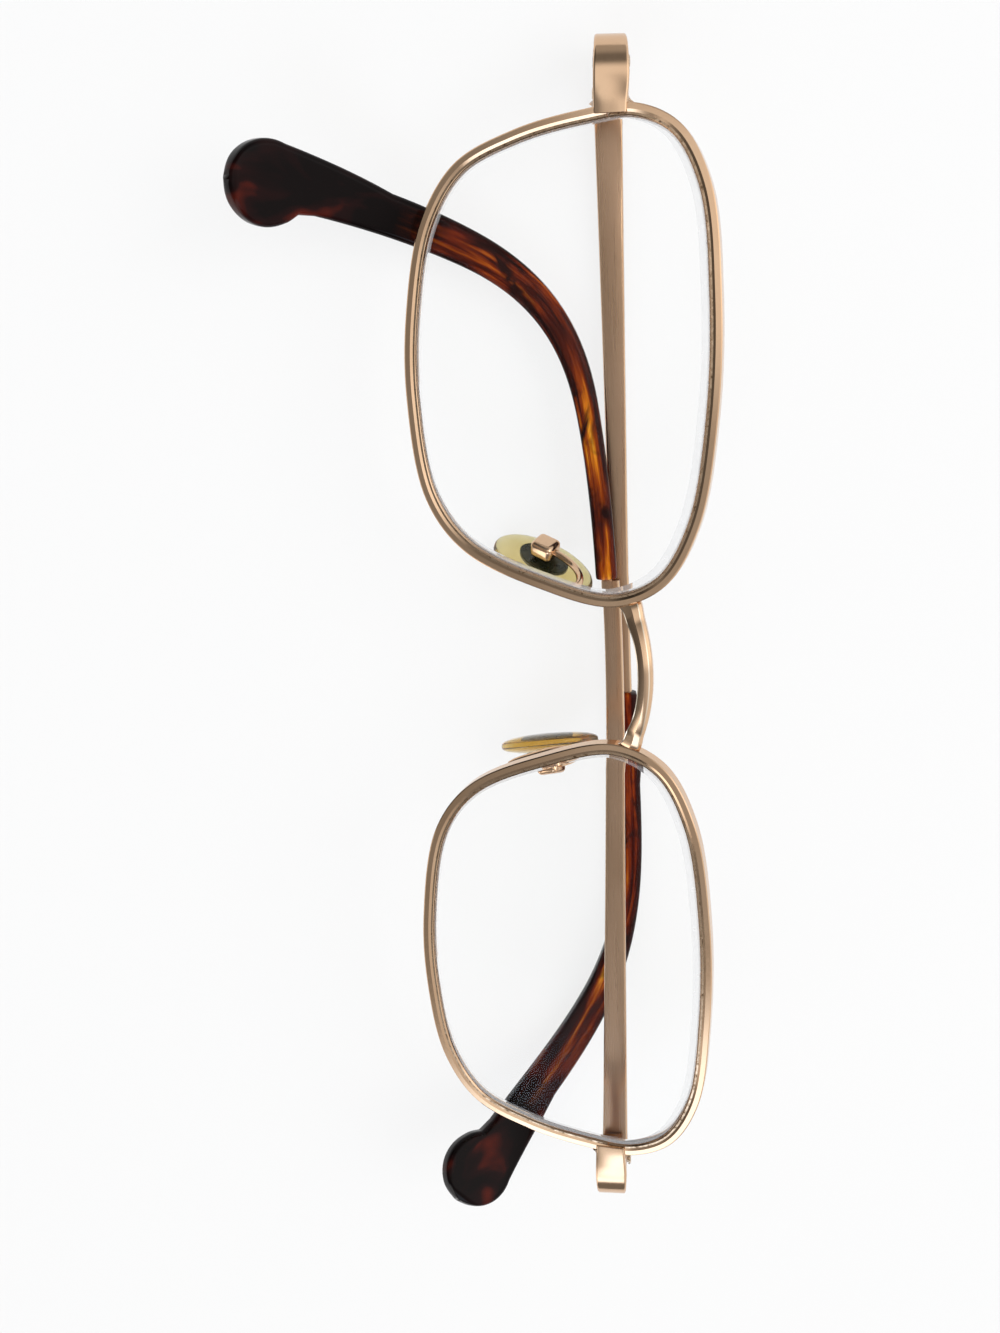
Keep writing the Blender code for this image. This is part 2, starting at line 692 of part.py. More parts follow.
def tip_widths(length):
    """Half widths of the tip on its inner and outer side at a path length."""
    left = TEMPLE_LENGTH - length
    grow = smooth_step((TIP_WIDEN_REACH - left) / TIP_WIDEN_LENGTH)
    inner = blend(TIP_START_WIDTH, TIP_NECK_WIDTH, grow) / 2
    outer = inner
    if left < TIP_FLARE_LENGTH:
        share = 1 - max(0.0, left) / TIP_FLARE_LENGTH
        outer = blend(inner, PADDLE_RADIUS, share)
    disc = math.sqrt(max(0.0, PADDLE_RADIUS ** 2 - left ** 2))
    inner *= min(1.0, max(0.0, left / PADDLE_MERGE))
    inner = (inner ** PADDLE_BLEND + disc ** PADDLE_BLEND) ** (1 / PADDLE_BLEND)
    if left < 0:
        return disc, disc
    return inner, max(outer, disc)


def make_tip(name, frame):
    """Acetate sleeve with a paddle end and a blind bore for the core wire."""
    start = TEMPLE_LENGTH - TIP_LENGTH[name]
    straight = TEMPLE_LENGTH - PADDLE_RADIUS * 1.3
    lengths = [blend(start, straight, step / TIP_STATIONS) for step in range(TIP_STATIONS + 1)]
    for angle in PADDLE_ANGLES:
        lengths.append(TEMPLE_LENGTH + PADDLE_RADIUS * math.sin(math.radians(angle)))
    outside = []
    for length, station in zip(lengths, temple_stations(name, lengths)):
        inner, outer = tip_widths(length)
        radius = min(TIP_ROUNDING, 0.8 * inner)
        section = rounded_rectangle(-inner, outer, TIP_THICKNESS / 2, radius, 3)
        outside.append(section_ring(station, section))
    bore = rounded_rectangle(-CORE_WIDTH / 2 - PIN_GAP, CORE_WIDTH / 2 + PIN_GAP,
                             CORE_THICKNESS / 2 + PIN_GAP, STRIP_CHAMFER, 3)
    end = TEMPLE_LENGTH - BORE_END
    bore_lengths = [blend(start, end, step / CORE_STATIONS) for step in range(CORE_STATIONS + 1)]
    bore_lengths.append(end + SEAT_GAP)
    inside = [section_ring(station, bore) for station in temple_stations(name, bore_lengths)]
    rings = list(reversed(inside)) + outside
    add_object(name + "_temple_tip", loft(name + "_temple_tip", rings), "tortoiseshell", frame)


# Nose pads

def make_pad(name, frame):
    """Soft oval pad with a shallow pocket in its back."""
    side = SIDES[name]
    shape = bmesh.new()
    bmesh.ops.create_uvsphere(shape, u_segments=28, v_segments=12, radius=1.0)
    centre = -side * (PAD_BACK + PAD_THICKNESS / 2)
    for vert in shape.verts:
        flat = math.copysign(abs(vert.co.z) ** PAD_FLATNESS, vert.co.z)
        vert.co = Vector((centre - side * flat * PAD_THICKNESS / 2, vert.co.x * PAD_LENGTH / 2,
                          vert.co.y * PAD_WIDTH / 2)) * MM
    piece = add_object(name + "_nose_pad", to_mesh(name + "_nose_pad", shape), "pad_amber", frame, 60)
    pocket_mesh = insert_plate("pocket", side, SEAT_GAP, SEAT_GAP + POCKET_OPEN)
    boolean(piece, cutter(name + "_pad_pocket", pocket_mesh, frame), "DIFFERENCE")


def insert_plate(name, side, grow, proud):
    """Oval plate across the pad's back, let in by its own thickness."""
    shape = bmesh.new()
    depth = INSERT_THICKNESS + proud + grow
    middle = -side * (PAD_BACK + INSERT_THICKNESS + grow - depth / 2)
    matrix = (Matrix.Translation((middle * MM, 0, 0))
              @ Matrix.Diagonal((1, (INSERT_LENGTH / 2 + grow) * MM, (INSERT_WIDTH / 2 + grow) * MM, 1))
              @ Matrix.Rotation(math.radians(90), 4, "Y"))
    bmesh.ops.create_cone(shape, cap_ends=True, segments=24, radius1=1.0, radius2=1.0,
                          depth=depth * MM, matrix=matrix)
    return to_mesh(name, shape)


def make_pad_insert(name, frame):
    side = SIDES[name]
    label = name + "_pad_insert"
    piece = add_object(label, insert_plate(label, side, 0, 0), "screw_steel", frame)
    x_range = sorted((-side * (PAD_BACK + INSERT_THICKNESS / 2), side * LUG_REACH))
    lug_mesh = box_mesh("lug", (x_range[0], -LUG_LENGTH / 2, -LUG_THICKNESS / 2),
                        (x_range[1], LUG_LENGTH / 2, LUG_THICKNESS / 2))
    boolean(piece, cutter(label + "_lug", lug_mesh, frame), "UNION")
    hole_mesh = rod_mesh("hole", PAD_PIN_RADIUS + PIN_GAP, -BOX_WIDTH, BOX_WIDTH, axis="Z", segments=16)
    boolean(piece, cutter(label + "_hole", hole_mesh, frame), "DIFFERENCE")


def make_pad_box(name, frame):
    """Small square box, open towards the pad, with a cross hole for the pin."""
    side = SIDES[name]
    label = name + "_pad_box"
    x_range = sorted((-side * BOX_FRONT, side * BOX_BACK))
    mesh = box_mesh(label, (x_range[0], -BOX_LENGTH / 2, -BOX_WIDTH / 2),
                    (x_range[1], BOX_LENGTH / 2, BOX_WIDTH / 2), BOX_ROUNDING)
    piece = add_object(label, mesh, "rim_gold", frame)
    hollow_range = sorted((-side * (BOX_FRONT + OVERREACH), side * (BOX_BACK - BOX_WALL)))
    hollow_half = (BOX_LENGTH - BOX_WALL) / 2
    slot_half = LUG_THICKNESS / 2 + PIN_GAP
    hollow_mesh = box_mesh("hollow", (hollow_range[0], -hollow_half, -slot_half),
                           (hollow_range[1], hollow_half, slot_half))
    boolean(piece, cutter(label + "_hollow", hollow_mesh, frame), "DIFFERENCE")
    end = BOX_WIDTH / 2 - BOX_FRONT_SKIN
    hole_mesh = rod_mesh("hole", PAD_PIN_RADIUS + PIN_GAP, -BOX_WIDTH, end, axis="Z", segments=16)
    boolean(piece, cutter(label + "_hole", hole_mesh, frame), "DIFFERENCE")


def make_pad_pin(name, frame):
    """Pin put in from behind, which ends inside the box's front wall."""
    end = BOX_WIDTH / 2 - BOX_FRONT_SKIN - PIN_GAP
    seat = -BOX_WIDTH / 2 - SEAT_GAP
    profile = (
        (0, end), (PAD_PIN_RADIUS, end), (PAD_PIN_RADIUS, seat), (PAD_PIN_HEAD, seat),
        (PAD_PIN_HEAD, seat - PAD_PIN_HEAD_HEIGHT / 2),
        (PAD_PIN_HEAD * HEAD_TOP, seat - PAD_PIN_HEAD_HEIGHT), (0, seat - PAD_PIN_HEAD_HEIGHT),
    )
    turned_screw(name + "_pad_pin", frame, "screw_steel", profile, 16)


def cubic(points, share):
    p0, p1, p2, p3 = points
    rest = 1 - share
    return (p0 * rest ** 3 + p1 * 3 * rest * rest * share + p2 * 3 * rest * share * share
            + p3 * share ** 3)


def behind_rim(side, height):
    """Place for the arm's wire behind the nasal side of the rim at a height."""
    loop = scaled_outline()
    normals = inward(loop)
    index = min((i for i in range(len(loop)) if loop[i].x < 0), key=lambda i: abs(loop[i].y - height))
    depth = RIM_DEPTH + SOLDER_GAP + ARM_RADIUS
    return on_front(side, loop[index] + normals[index] * ARM_INSET, depth)


def make_pad_arm(name, pad_matrix):
    """Wire that runs up behind the rim, turns over and comes down to the pad box."""
    side = SIDES[name]
    near_box = (BOX_BACK - BOX_FRONT) / 2 * side
    top = pad_matrix @ Vector((near_box, BOX_LENGTH / 2 + SOLDER_GAP, 0))
    along = pad_matrix.to_3x3() @ Vector((0, 1, 0))
    foot = behind_rim(side, ARM_FOOT_HEIGHT)
    rise = behind_rim(side, ARM_RISE_HEIGHT)
    upward = (rise - foot).normalized()
    controls = (rise, rise + upward * ARM_BOW[name], top + along * ARM_BOW[name], top)
    stations = [foot] + [cubic(controls, k / ARM_STATIONS) for k in range(ARM_STATIONS + 1)]
    curve = bpy.data.curves.new(name + "_pad_arm", "CURVE")
    curve.dimensions = "3D"
    curve.bevel_depth = ARM_RADIUS * MM
    curve.bevel_resolution = 2
    curve.use_fill_caps = True
    spline = curve.splines.new("POLY")
    spline.points.add(len(stations) - 1)
    for point, station in zip(spline.points, stations):
        point.co = (*(station * MM), 1)
    curve.materials.append(materials["rim_gold"])
    piece = bpy.data.objects.new(name + "_pad_arm", curve)
    piece.parent = front
    glasses.objects.link(piece)


def make_pad_side(name):
    side = SIDES[name]
    out = (LENS_DISTANCE - LENS_WIDTH) / 2 + PAD_BESIDE_LENS[name]
    place = (side * out, PAD_PIN_HEIGHT[name], -PAD_PIN_BACK)
    angles = (PAD_LEAN, -side * PAD_SPLAY[name], side * PAD_FRONTAL)
    box_frame = add_empty(name + "_pad_axis", front, place, angles)
    make_pad_box(name, box_frame)
    make_pad_pin(name, box_frame)
    rock_frame = add_empty(name + "_pad_rock", box_frame, (0, 0, 0), (0, 0, side * PAD_ROCK[name]))
    make_pad(name, rock_frame)
    make_pad_insert(name, rock_frame)
    turn = Euler([math.radians(angle) for angle in angles], "XYZ").to_matrix().to_4x4()
    make_pad_arm(name, Matrix.Translation(place) @ turn)


# Assembly

def make_side(name):
    side = SIDES[name]
    rim = make_rim(name + "_rim", side)
    make_lens(name + "_lens", side)
    hinge_place = (side * HINGE_OUT, HINGE_HEIGHT[name], -HINGE_BACK)
    hinge_frame = add_empty(name + "_hinge_axis", front, hinge_place, (-HINGE_TILT[name], 0, 0))
    make_endpiece(name, hinge_frame, rim)
    make_rim_blocks(name, hinge_frame)
    make_front_hinge(name, hinge_frame)
    make_hinge_screw(name, hinge_frame)
    swing_frame = add_empty(name + "_temple_swing", hinge_frame, (0, 0, 0),
                            (0, -side * FOLD_OPEN[name], 0))
    make_temple(name, swing_frame)
    make_tip(name, swing_frame)
    make_temple_hinge(name, swing_frame)
    make_pad_side(name)


def rest_on_floor():
    """Shift the front so that the object's box stands centred on the origin."""
    bpy.context.view_layer.update()
    depsgraph = bpy.context.evaluated_depsgraph_get()
    points = []
    for piece in glasses.objects:
        if piece.type != "EMPTY":
            placed = piece.evaluated_get(depsgraph)
            mesh = placed.to_mesh()
            points.extend(placed.matrix_world @ vert.co for vert in mesh.vertices)
            placed.to_mesh_clear()
    low = [min(point[axis] for point in points) for axis in range(3)]
    high = [max(point[axis] for point in points) for axis in range(3)]
    front.location -= Vector(((low[0] + high[0]) / 2, (low[1] + high[1]) / 2, low[2]))


clear_scene()
glasses = make_collection("reading_glasses")
cutters = make_collection("cutters")
materials = {name: make_material(name) for name in MATERIALS}
front = add_empty("front_frame", None, (0, 0, 0), (FRONT_LEAN, FRONT_ROLL, 0))
make_bridge()
for side_name in SIDES:
    make_side(side_name)
rest_on_floor()
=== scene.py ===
"""Folded reading glasses dressed for rendering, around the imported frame.

Lengths are in millimetres in the frame of the glasses' front: origin midway
between the lenses, +X to the wearer's left, +Y to the brow, +Z forward.
"""
import json
import math

import bmesh
import bpy
from mathutils import Euler, Matrix, Vector


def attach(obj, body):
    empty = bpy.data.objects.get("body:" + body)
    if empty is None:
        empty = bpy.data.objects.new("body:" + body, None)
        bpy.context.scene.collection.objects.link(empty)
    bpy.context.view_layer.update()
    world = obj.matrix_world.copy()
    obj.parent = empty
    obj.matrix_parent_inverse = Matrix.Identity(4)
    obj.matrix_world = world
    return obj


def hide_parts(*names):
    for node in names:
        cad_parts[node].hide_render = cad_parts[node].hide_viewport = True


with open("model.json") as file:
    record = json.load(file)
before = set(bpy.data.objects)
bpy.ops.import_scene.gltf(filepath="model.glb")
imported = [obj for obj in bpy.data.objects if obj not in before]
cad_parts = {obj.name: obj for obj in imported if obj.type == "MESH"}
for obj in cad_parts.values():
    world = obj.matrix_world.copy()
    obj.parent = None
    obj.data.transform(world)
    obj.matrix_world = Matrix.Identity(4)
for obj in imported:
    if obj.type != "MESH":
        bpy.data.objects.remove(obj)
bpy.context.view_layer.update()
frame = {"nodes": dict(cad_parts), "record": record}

MM = 0.001
SIDES = {"left": 1, "right": -1}

# Front frame, hinges and clearances, as in the part's source
FRONT_LEAN = 5.99
FRONT_ROLL = -3.681
HINGE_OUT = 65.85
HINGE_BACK = 9.6
HINGE_HEIGHT = {"left": 4.05, "right": 3.62}
HINGE_TILT = {"left": 9.0, "right": 13.0}
FOLD_OPEN = {"left": 0.0, "right": 3.4}

# Lens outline
LENS_WIDTH = 53.0
LENS_HEIGHT = 35.0
LENS_DISTANCE = 70.3
LENS_CURVE_RADIUS = 219.0
LENS_WRAP = 1.9
OUTLINE_SHAPE = (
    (0.951, 0.103), (0.970, 0.446), (0.887, 0.714), (0.664, 0.903), (0.238, 0.983),
    (-0.234, 0.977), (-0.683, 0.869), (-0.932, 0.657), (-1.026, 0.331), (-0.955, -0.154),
    (-0.804, -0.646), (-0.589, -0.891), (-0.177, -1.000), (0.177, -0.994), (0.547, -0.891),
    (0.770, -0.674), (0.887, -0.309),
)
OUTLINE_STEPS = 12
RIM_WIDTH = 1.35
RIM_DEPTH = 2.0
GROOVE_DEPTH = 0.4
GROOVE_WIDTH = 0.9
RIM_SPLIT_HEIGHT = 4.7
RIM_SPLIT = 0.2
SKIN_INSET = 0.014
LENS_THICKNESS = 1.7
LENS_EDGE_GAP = 0.2
LENS_RING_SCALES = (0.03, 0.2, 0.4, 0.6, 0.8, 0.95)
V_EDGE_HALF = 0.3
BEVEL_DROP = 0.06
BEVEL_WIDTH = 0.05
BEVEL_AT_BROW = 0.6
BEVEL_AT_FAR_SIDE = 0.5

# Bridge
BRIDGE_SPAN = 15.9
BRIDGE_FOOT_HEIGHT = 7.45
BRIDGE_RISE = 2.15
BRIDGE_FOOT_DEPTH = -1.9
BRIDGE_FORWARD = 1.9
BRIDGE_WIDTH = 1.7
BRIDGE_FLARE = 0.9
BRIDGE_THICKNESS = 1.7
BRIDGE_STATIONS = 72
BRIDGE_ARCH_POWER = 0.85
BRIDGE_TOE = 0.55
BRIDGE_TOE_START = 0.72
BRIDGE_FIT_START = 0.80

# Endpiece strap
STRAP_HEIGHT = 3.8
STRAP_REAR_HEIGHT = 3.3
STRAP_THICKNESS = 1.25
STRAP_FRONT = 7.4
STRAP_OUTSIDE = 2.3
STRAP_BEND = 3.6
STRAP_LAP = 0.95
STRAP_LIFT = 0.10
STRAP_BOW = 0.12
STRAP_CROWN = 0.04
STRAP_WAIST = 0.12
STRAP_END_ROUND = 0.07
STRAP_CORNER = 0.30
STRAP_SHARES = (0.0, 0.015, 0.04, 0.10, 0.20, 0.26, 0.32, 0.38, 0.45, 0.55, 0.65, 0.75, 0.88)
STRAP_BEND_STEPS = 24
FILLET = 0.6
FILLET_REACH = 0.8
BUTT_GAP = 0.15

# Temples
STRIP_THICKNESS = 1.1
STRIP_ROOT_HEIGHT = 3.2
STRIP_END_HEIGHT = 2.1
STRIP_CHAMFER = 0.25
STRIP_TAPER_POWER = 1.6
STRIP_STEPS = 48
STRIP_END_ROUND = 0.08
CORE_HALF_WIDTH = 0.6
CORE_HALF_THICKNESS = 0.4
CORE_CORNER = 0.2
STRIP_OFFSET = {"left": 0.24, "right": -0.12}
CORE_OFFSET = {"left": -0.4, "right": 0.4}
STRIP_RAKE = {"left": 0.0, "right": 1.5}
TIP_START = {"left": 75.15, "right": 71.85}
SEAT_GAP = 0.2
TEMPLE_LENGTH = 142.2
EASE_START = 46.0
EASE_BEND = {"left": 37.8, "right": -9.2}
HOOK_START = {"left": 92.5, "right": 82.1}
HOOK_LENGTH = {"left": 28.0, "right": 60.0}
HOOK_BEND = {"left": 42.5, "right": 55.7}
CURL_LENGTH = 27.0
CURL_RADIUS = 40.0
TIP_START_WIDTH = 2.55
TIP_NECK_WIDTH = 4.8
TIP_WIDEN_START = 87.0
TIP_WIDEN_LENGTH = 48.0
TIP_FLARE_LENGTH = 14.0
TIP_THICKNESS = 2.5
TIP_ROUNDING = 0.75
TIP_SKIN = 0.025
TIP_STEPS = 90
TIP_MOUTH_LENGTH = 0.35
TIP_MOUTH_ROUND = 0.28
PADDLE_RADIUS = 4.6
PADDLE_STEPS = 46
PADDLE_ARC = (-66, 86)
PADDLE_THINNING = 0.55
PADDLE_THINNING_LENGTH = 0.9

# Nose pads
PAD_PIN_OUT = {"left": 13.3, "right": 12.45}
PAD_PIN_HEIGHT = {"left": -3.8, "right": -4.15}
PAD_PIN_BACK = 10.3
PAD_LEAN = 17.0
PAD_SPLAY = {"left": 17.0, "right": 28.0}
PAD_FRONTAL = 12.0
PAD_ROCK = {"left": -3.6, "right": 3.6}
PAD_LENGTH = 13.4
PAD_WIDTH = 7.4
PAD_THICKNESS = 2.4
PAD_BACK = 0.95
PAD_SKIN_RADIUS = 0.993
PAD_FLATNESS = 0.75
BOX_LENGTH = 2.9
BOX_WIDTH = 2.7
BOX_FRONT = 0.6
BOX_BACK = 1.6
BOX_ROUND = 0.62
ARM_RADIUS = 0.42
ARM_INSET = 0.3
ARM_FOOT_HEIGHT = -7.2
ARM_RISE_HEIGHT = -3.0
ARM_BOW = {"left": 4.2, "right": 5.4}
ARM_SOLDER = 0.15
ARM_FOOT_STEPS = 12
ARM_BOW_STEPS = 40
ARM_SEGMENTS = 20

# Edges sharper than these angles, in degrees, stay crisp
SKIN_SHARP = 38.0
RIM_SHARP = 12.0
BRIDGE_SHARP = 14.0
PAD_SHARP = 80.0
BOX_SHARP = 60.0

# Tortoiseshell, in millimetres from the strip: amber turns russet over RUSSET_SPAN, then dark
RUSSET_SPAN = (20.0, 34.0)
DARK_START = {"left": 40.0, "right": 48.0}
DARK_FADE = 12.0
AMBER = {
    "left": (
        (0.38, (0.025, 0.005, 0.004)), (0.48, (0.12, 0.016, 0.005)), (0.57, (0.33, 0.056, 0.006)),
        (0.65, (0.74, 0.22, 0.010)), (0.74, (1.0, 0.55, 0.05))),
    "right": (
        (0.42, (0.022, 0.004, 0.003)), (0.54, (0.10, 0.010, 0.004)), (0.64, (0.28, 0.040, 0.006)),
        (0.74, (0.66, 0.19, 0.012))),
}
RUSSET = (
    (0.38, (0.014, 0.004, 0.003)), (0.47, (0.065, 0.009, 0.005)), (0.55, (0.20, 0.028, 0.006)),
    (0.63, (0.50, 0.115, 0.010)), (0.71, (0.92, 0.40, 0.03)),
)
NEAR_BLACK = ((0.46, (0.005, 0.003, 0.003)), (0.58, (0.014, 0.004, 0.004)), (0.72, (0.10, 0.012, 0.006)))
DARK_PATCH = (0.020, 0.005, 0.004)
TIP_SEED = {"left": 3.7, "right": 11.3}

# Clear parts: the lens mirrors little, as a coated one does, and the pad turns amber with depth
LENS_INDEX = 1.2
LENS_MIRROR_TINT = (0.25, 0.27, 0.30, 1.0)
LENS_EDGE_ALPHA = 0.28
PAD_ABSORPTION = (0.90, 0.70, 0.03, 1.0)
PAD_DENSITY = 380.0

# Floor and key lamp, in metres and watts. FLOOR_CLEAR is how far the floor lets the view through to
# the white ground, and to temples opened below it
FLOOR_HALF = 1.5
FLOOR_CLEAR = 0.80
KEY_POWER = 3.2
KEY_PLACE = (-0.15, 0.75, 0.65)
KEY_SIZE = (0.7, 0.5)
KEY_COLOUR = (1.0, 0.99, 0.97)

# Studio: grey level, then panels as added level and limits along axes, each from nothing to full.
# Panels with a negative level are dark flags
STUDIO_COLOUR = (1.0, 0.99, 0.975)
STUDIO_LEVEL = 0.46
STUDIO_PANELS = (
    (0.62, (("X", 0.05, -0.15), ("X", -0.68, -0.30), ("Y", -0.40, -0.20))),
    (2.00, (("X", 0.42, 0.54), ("Y", -0.50, -0.60), ("Y", -0.86, -0.76), ("Z", 0.62, 0.52))),
    (0.52, (("Y", 0.20, 0.72),)),
    (-0.16, (("Y", -0.24, -0.46),)),
    (-0.18, (("Y", -0.72, -0.90),)),
    (-0.26, (("X", -0.42, -0.66), ("X", -0.97, -0.82), ("Y", 0.45, 0.20))),
    (-0.24, (("X", 0.72, 0.84), ("Y", 0.45, 0.20))),
)
WINDOW_LEVEL = 2.1
WINDOW_LIMITS = (
    ("X", 0.41, 0.63), ("X", 0.84, 0.74),
    ("Y", -0.50, -0.32), ("Y", 0.25, 0.08),
    ("Z", 0.36, 0.56),
)
WINDOW_COLOUR = (0.88, 1.0, 1.17)

# Camera fitted to the photograph: turn from straight down the front's -Z, and place
CAMERA_TURN = (13.92, 15.25, 0.79)
CAMERA_SHIFT = (6.9, 1.1, 168.7)
FOCAL_PIXELS = 1500.0
IMAGE_HEIGHT = 1333.0
SENSOR = 36.0


# Frames in world space, each taking millimetres to metres

def turned(angles):
    return Euler([math.radians(angle) for angle in angles], "XYZ").to_matrix().to_4x4()


def front_matrix():
    joints = {joint["name"]: joint for joint in frame["record"]["behaviour"]["joints"]}
    turn = turned((FRONT_LEAN, FRONT_ROLL, 0))
    hinge = Vector((-HINGE_OUT, HINGE_HEIGHT["right"], -HINGE_BACK)) * MM
    place = Vector(joints["right_temple_swing"]["pos_m"]) - turn.to_3x3() @ hinge
    return Matrix.Translation(place) @ turn @ Matrix.Scale(MM, 4)


def shift(x, y, z):
    return Matrix.Translation((x, y, z))


FRONT = front_matrix()
HINGE = {}
SWING = {}
PAD = {}
ROCK = {}
for name, side in SIDES.items():
    HINGE[name] = FRONT @ shift(side * HINGE_OUT, HINGE_HEIGHT[name], -HINGE_BACK) @ turned(
        (-HINGE_TILT[name], 0, 0))
    SWING[name] = HINGE[name] @ turned((0, -side * FOLD_OPEN[name], 0))
    PAD[name] = FRONT @ shift(side * PAD_PIN_OUT[name], PAD_PIN_HEIGHT[name], -PAD_PIN_BACK) @ turned(
        (PAD_LEAN, -side * PAD_SPLAY[name], side * PAD_FRONTAL))
    ROCK[name] = PAD[name] @ turned((0, 0, side * PAD_ROCK[name]))


# Materials

class Shader:
    """A node material with a Principled shader and helpers that return sockets."""

    def __init__(self, name, **values):
        self.material = bpy.data.materials.new(name)
        self.material.use_nodes = True
        self.tree = self.material.node_tree
        self.main = self.tree.nodes["Principled BSDF"]
        for key, value in values.items():
            self.main.inputs[key.replace("_", " ")].default_value = value

    def node(self, kind, **values):
        node = self.tree.nodes.new(kind)
        for key, value in values.items():
            setattr(node, key, value)
        return node

    def link(self, source, target):
        self.tree.links.new(source, target)

    def place(self, scale, kind="Object", start=(0, 0, 0)):
        """Coordinates of the surface, stretched by a scale in each direction."""
        source = self.node("ShaderNodeTexCoord").outputs[kind]
        mapping = self.node("ShaderNodeMapping")
        mapping.inputs["Scale"].default_value = scale
        mapping.inputs["Location"].default_value = start
        self.link(source, mapping.inputs["Vector"])
        return mapping.outputs["Vector"]

    def noise(self, vector, scale, detail=3.0, roughness=0.5, distortion=0.0):
        node = self.node("ShaderNodeTexNoise")
        node.inputs["Scale"].default_value = scale
        node.inputs["Detail"].default_value = detail
        node.inputs["Roughness"].default_value = roughness
        node.inputs["Distortion"].default_value = distortion
        self.link(vector, node.inputs["Vector"])
        return node.outputs["Fac"]

    def ramp(self, factor, stops):
        node = self.node("ShaderNodeValToRGB")
        elements = node.color_ramp.elements
        while len(elements) < len(stops):
            elements.new(0.5)
        for element, (position, colour) in zip(elements, stops):
            element.position = position
            element.color = (*colour, 1.0)
        self.link(factor, node.inputs["Fac"])
        return node.outputs["Color"]

    def span(self, factor, low, high, start=0.0, end=1.0):
        node = self.node("ShaderNodeMapRange")
        for key, value in (("From Min", start), ("From Max", end), ("To Min", low), ("To Max", high)):
            node.inputs[key].default_value = value
        self.link(factor, node.inputs["Value"])
        return node.outputs["Result"]

    def mix(self, factor, first, second):
        node = self.node("ShaderNodeMix", data_type="RGBA")
        for socket, value in ((node.inputs[0], factor), (node.inputs[6], first), (node.inputs[7], second)):
            if isinstance(value, (tuple, float)):
                socket.default_value = value if isinstance(value, float) else (*value, 1.0)
            else:
                self.link(value, socket)
        return node.outputs[2]

    def bump(self, height, strength, distance):
        node = self.node("ShaderNodeBump")
        node.inputs["Strength"].default_value = strength
        node.inputs["Distance"].default_value = distance
        self.link(height, node.inputs["Height"])
        self.link(node.outputs["Normal"], self.main.inputs["Normal"])

    def set(self, name, socket):
        self.link(socket, self.main.inputs[name])


def metal(name, dark, light, rough, wear_scale=90.0, grain=None):
    """Polished or brushed alloy with slow colour drift, fine wear and optional grain."""
    shader = Shader(name, Metallic=1.0)
    slow = shader.noise(shader.place((1, 1, 1)), wear_scale, 2.0)
    fine = shader.noise(shader.place((1, 1, 1)), 2600.0, 4.0, 0.6)
    shader.set("Base Color", shader.ramp(slow, ((0.3, dark), (0.7, light))))
    if grain:
        streaks = shader.noise(shader.place(grain, "UV"), 1.0, 5.0, 0.65)
        shader.set("Roughness", shader.span(streaks, rough[0], rough[1], 0.3, 0.7))
        shader.bump(streaks, 0.25, 0.00003)
    else:
        shader.set("Roughness", shader.span(fine, rough[0], rough[1], 0.3, 0.7))
        shader.bump(fine, 0.06, 0.00002)
    return shader.material


def speckled_metal(name):
    """Lip of the eyewire beside the lens: bright, with small dark nicks."""
    shader = Shader(name, Metallic=1.0)
    nicks = shader.noise(shader.place((1, 1, 1)), 1500.0, 3.0, 0.65, 0.8)
    shader.set("Base Color", shader.ramp(nicks, (
        (0.34, (0.14, 0.085, 0.045)), (0.41, (0.38, 0.26, 0.165)), (0.66, (0.58, 0.43, 0.30)))))
    shader.set("Roughness", shader.span(nicks, 0.36, 0.18, 0.35, 0.65))
    shader.bump(nicks, 0.12, 0.00004)
    return shader.material


def tortoiseshell(side_name):
    """Acetate streaked lengthwise with amber by the strip, then red brown, then near black."""
    seed = TIP_SEED[side_name]
    dark_start = DARK_START[side_name]
    shader = Shader(side_name + "_tortoiseshell", Roughness=0.06, IOR=1.49, Specular_IOR_Level=0.08)
    split = shader.node("ShaderNodeSeparateXYZ")
    shader.link(shader.place((1, 1, 1), "UV"), split.inputs["Vector"])
    streaks = shader.noise(shader.place((0.06, 0.95, 1), "UV", (seed, seed, 0)), 1.0, 4.0, 0.6, 0.35)
    clouds = shader.noise(shader.place((0.16, 0.26, 1), "UV", (3 * seed, seed, 0)), 1.0, 3.0, 0.6, 0.9)
    specks = shader.noise(shader.place((0.13, 0.24, 1), "UV", (seed, 2 * seed, 0)), 1.0, 2.0, 0.5, 0.6)
    off_middle = shader.node("ShaderNodeMath", operation="ABSOLUTE")
    shader.link(split.outputs["Y"], off_middle.inputs[0])
    core = shader.span(off_middle.outputs[0], 0.07, -0.10, 0.3, 1.3)
    lit = shader.node("ShaderNodeMath", operation="ADD")
    shader.link(streaks, lit.inputs[0])
    shader.link(core, lit.inputs[1])
    amber = shader.ramp(lit.outputs[0], AMBER[side_name])
    russet = shader.ramp(lit.outputs[0], RUSSET)
    black = shader.ramp(specks, NEAR_BLACK)
    patches = shader.ramp(clouds, ((0.36, (0.0, 0.0, 0.0)), (0.48, (1.0, 1.0, 1.0))))
    to_russet = shader.span(split.outputs["X"], 0.0, 1.0, *RUSSET_SPAN)
    to_black = shader.span(split.outputs["X"], 0.0, 1.0, dark_start, dark_start + DARK_FADE)
    body = shader.mix(to_russet, amber, russet)
    broken = shader.mix(patches, DARK_PATCH, body)
    shader.set("Base Color", shader.mix(to_black, broken, black))
    shader.bump(specks, 0.02, 0.00002)
    return shader.material


def rays(shader, *names):
    """Largest of the named Light Path outputs."""
    path = shader.node("ShaderNodeLightPath")
    result = path.outputs[names[0]]
    for name in names[1:]:
        larger = shader.node("ShaderNodeMath", operation="MAXIMUM")
        shader.link(result, larger.inputs[0])
        shader.link(path.outputs[name], larger.inputs[1])
        result = larger.outputs[0]
    return result


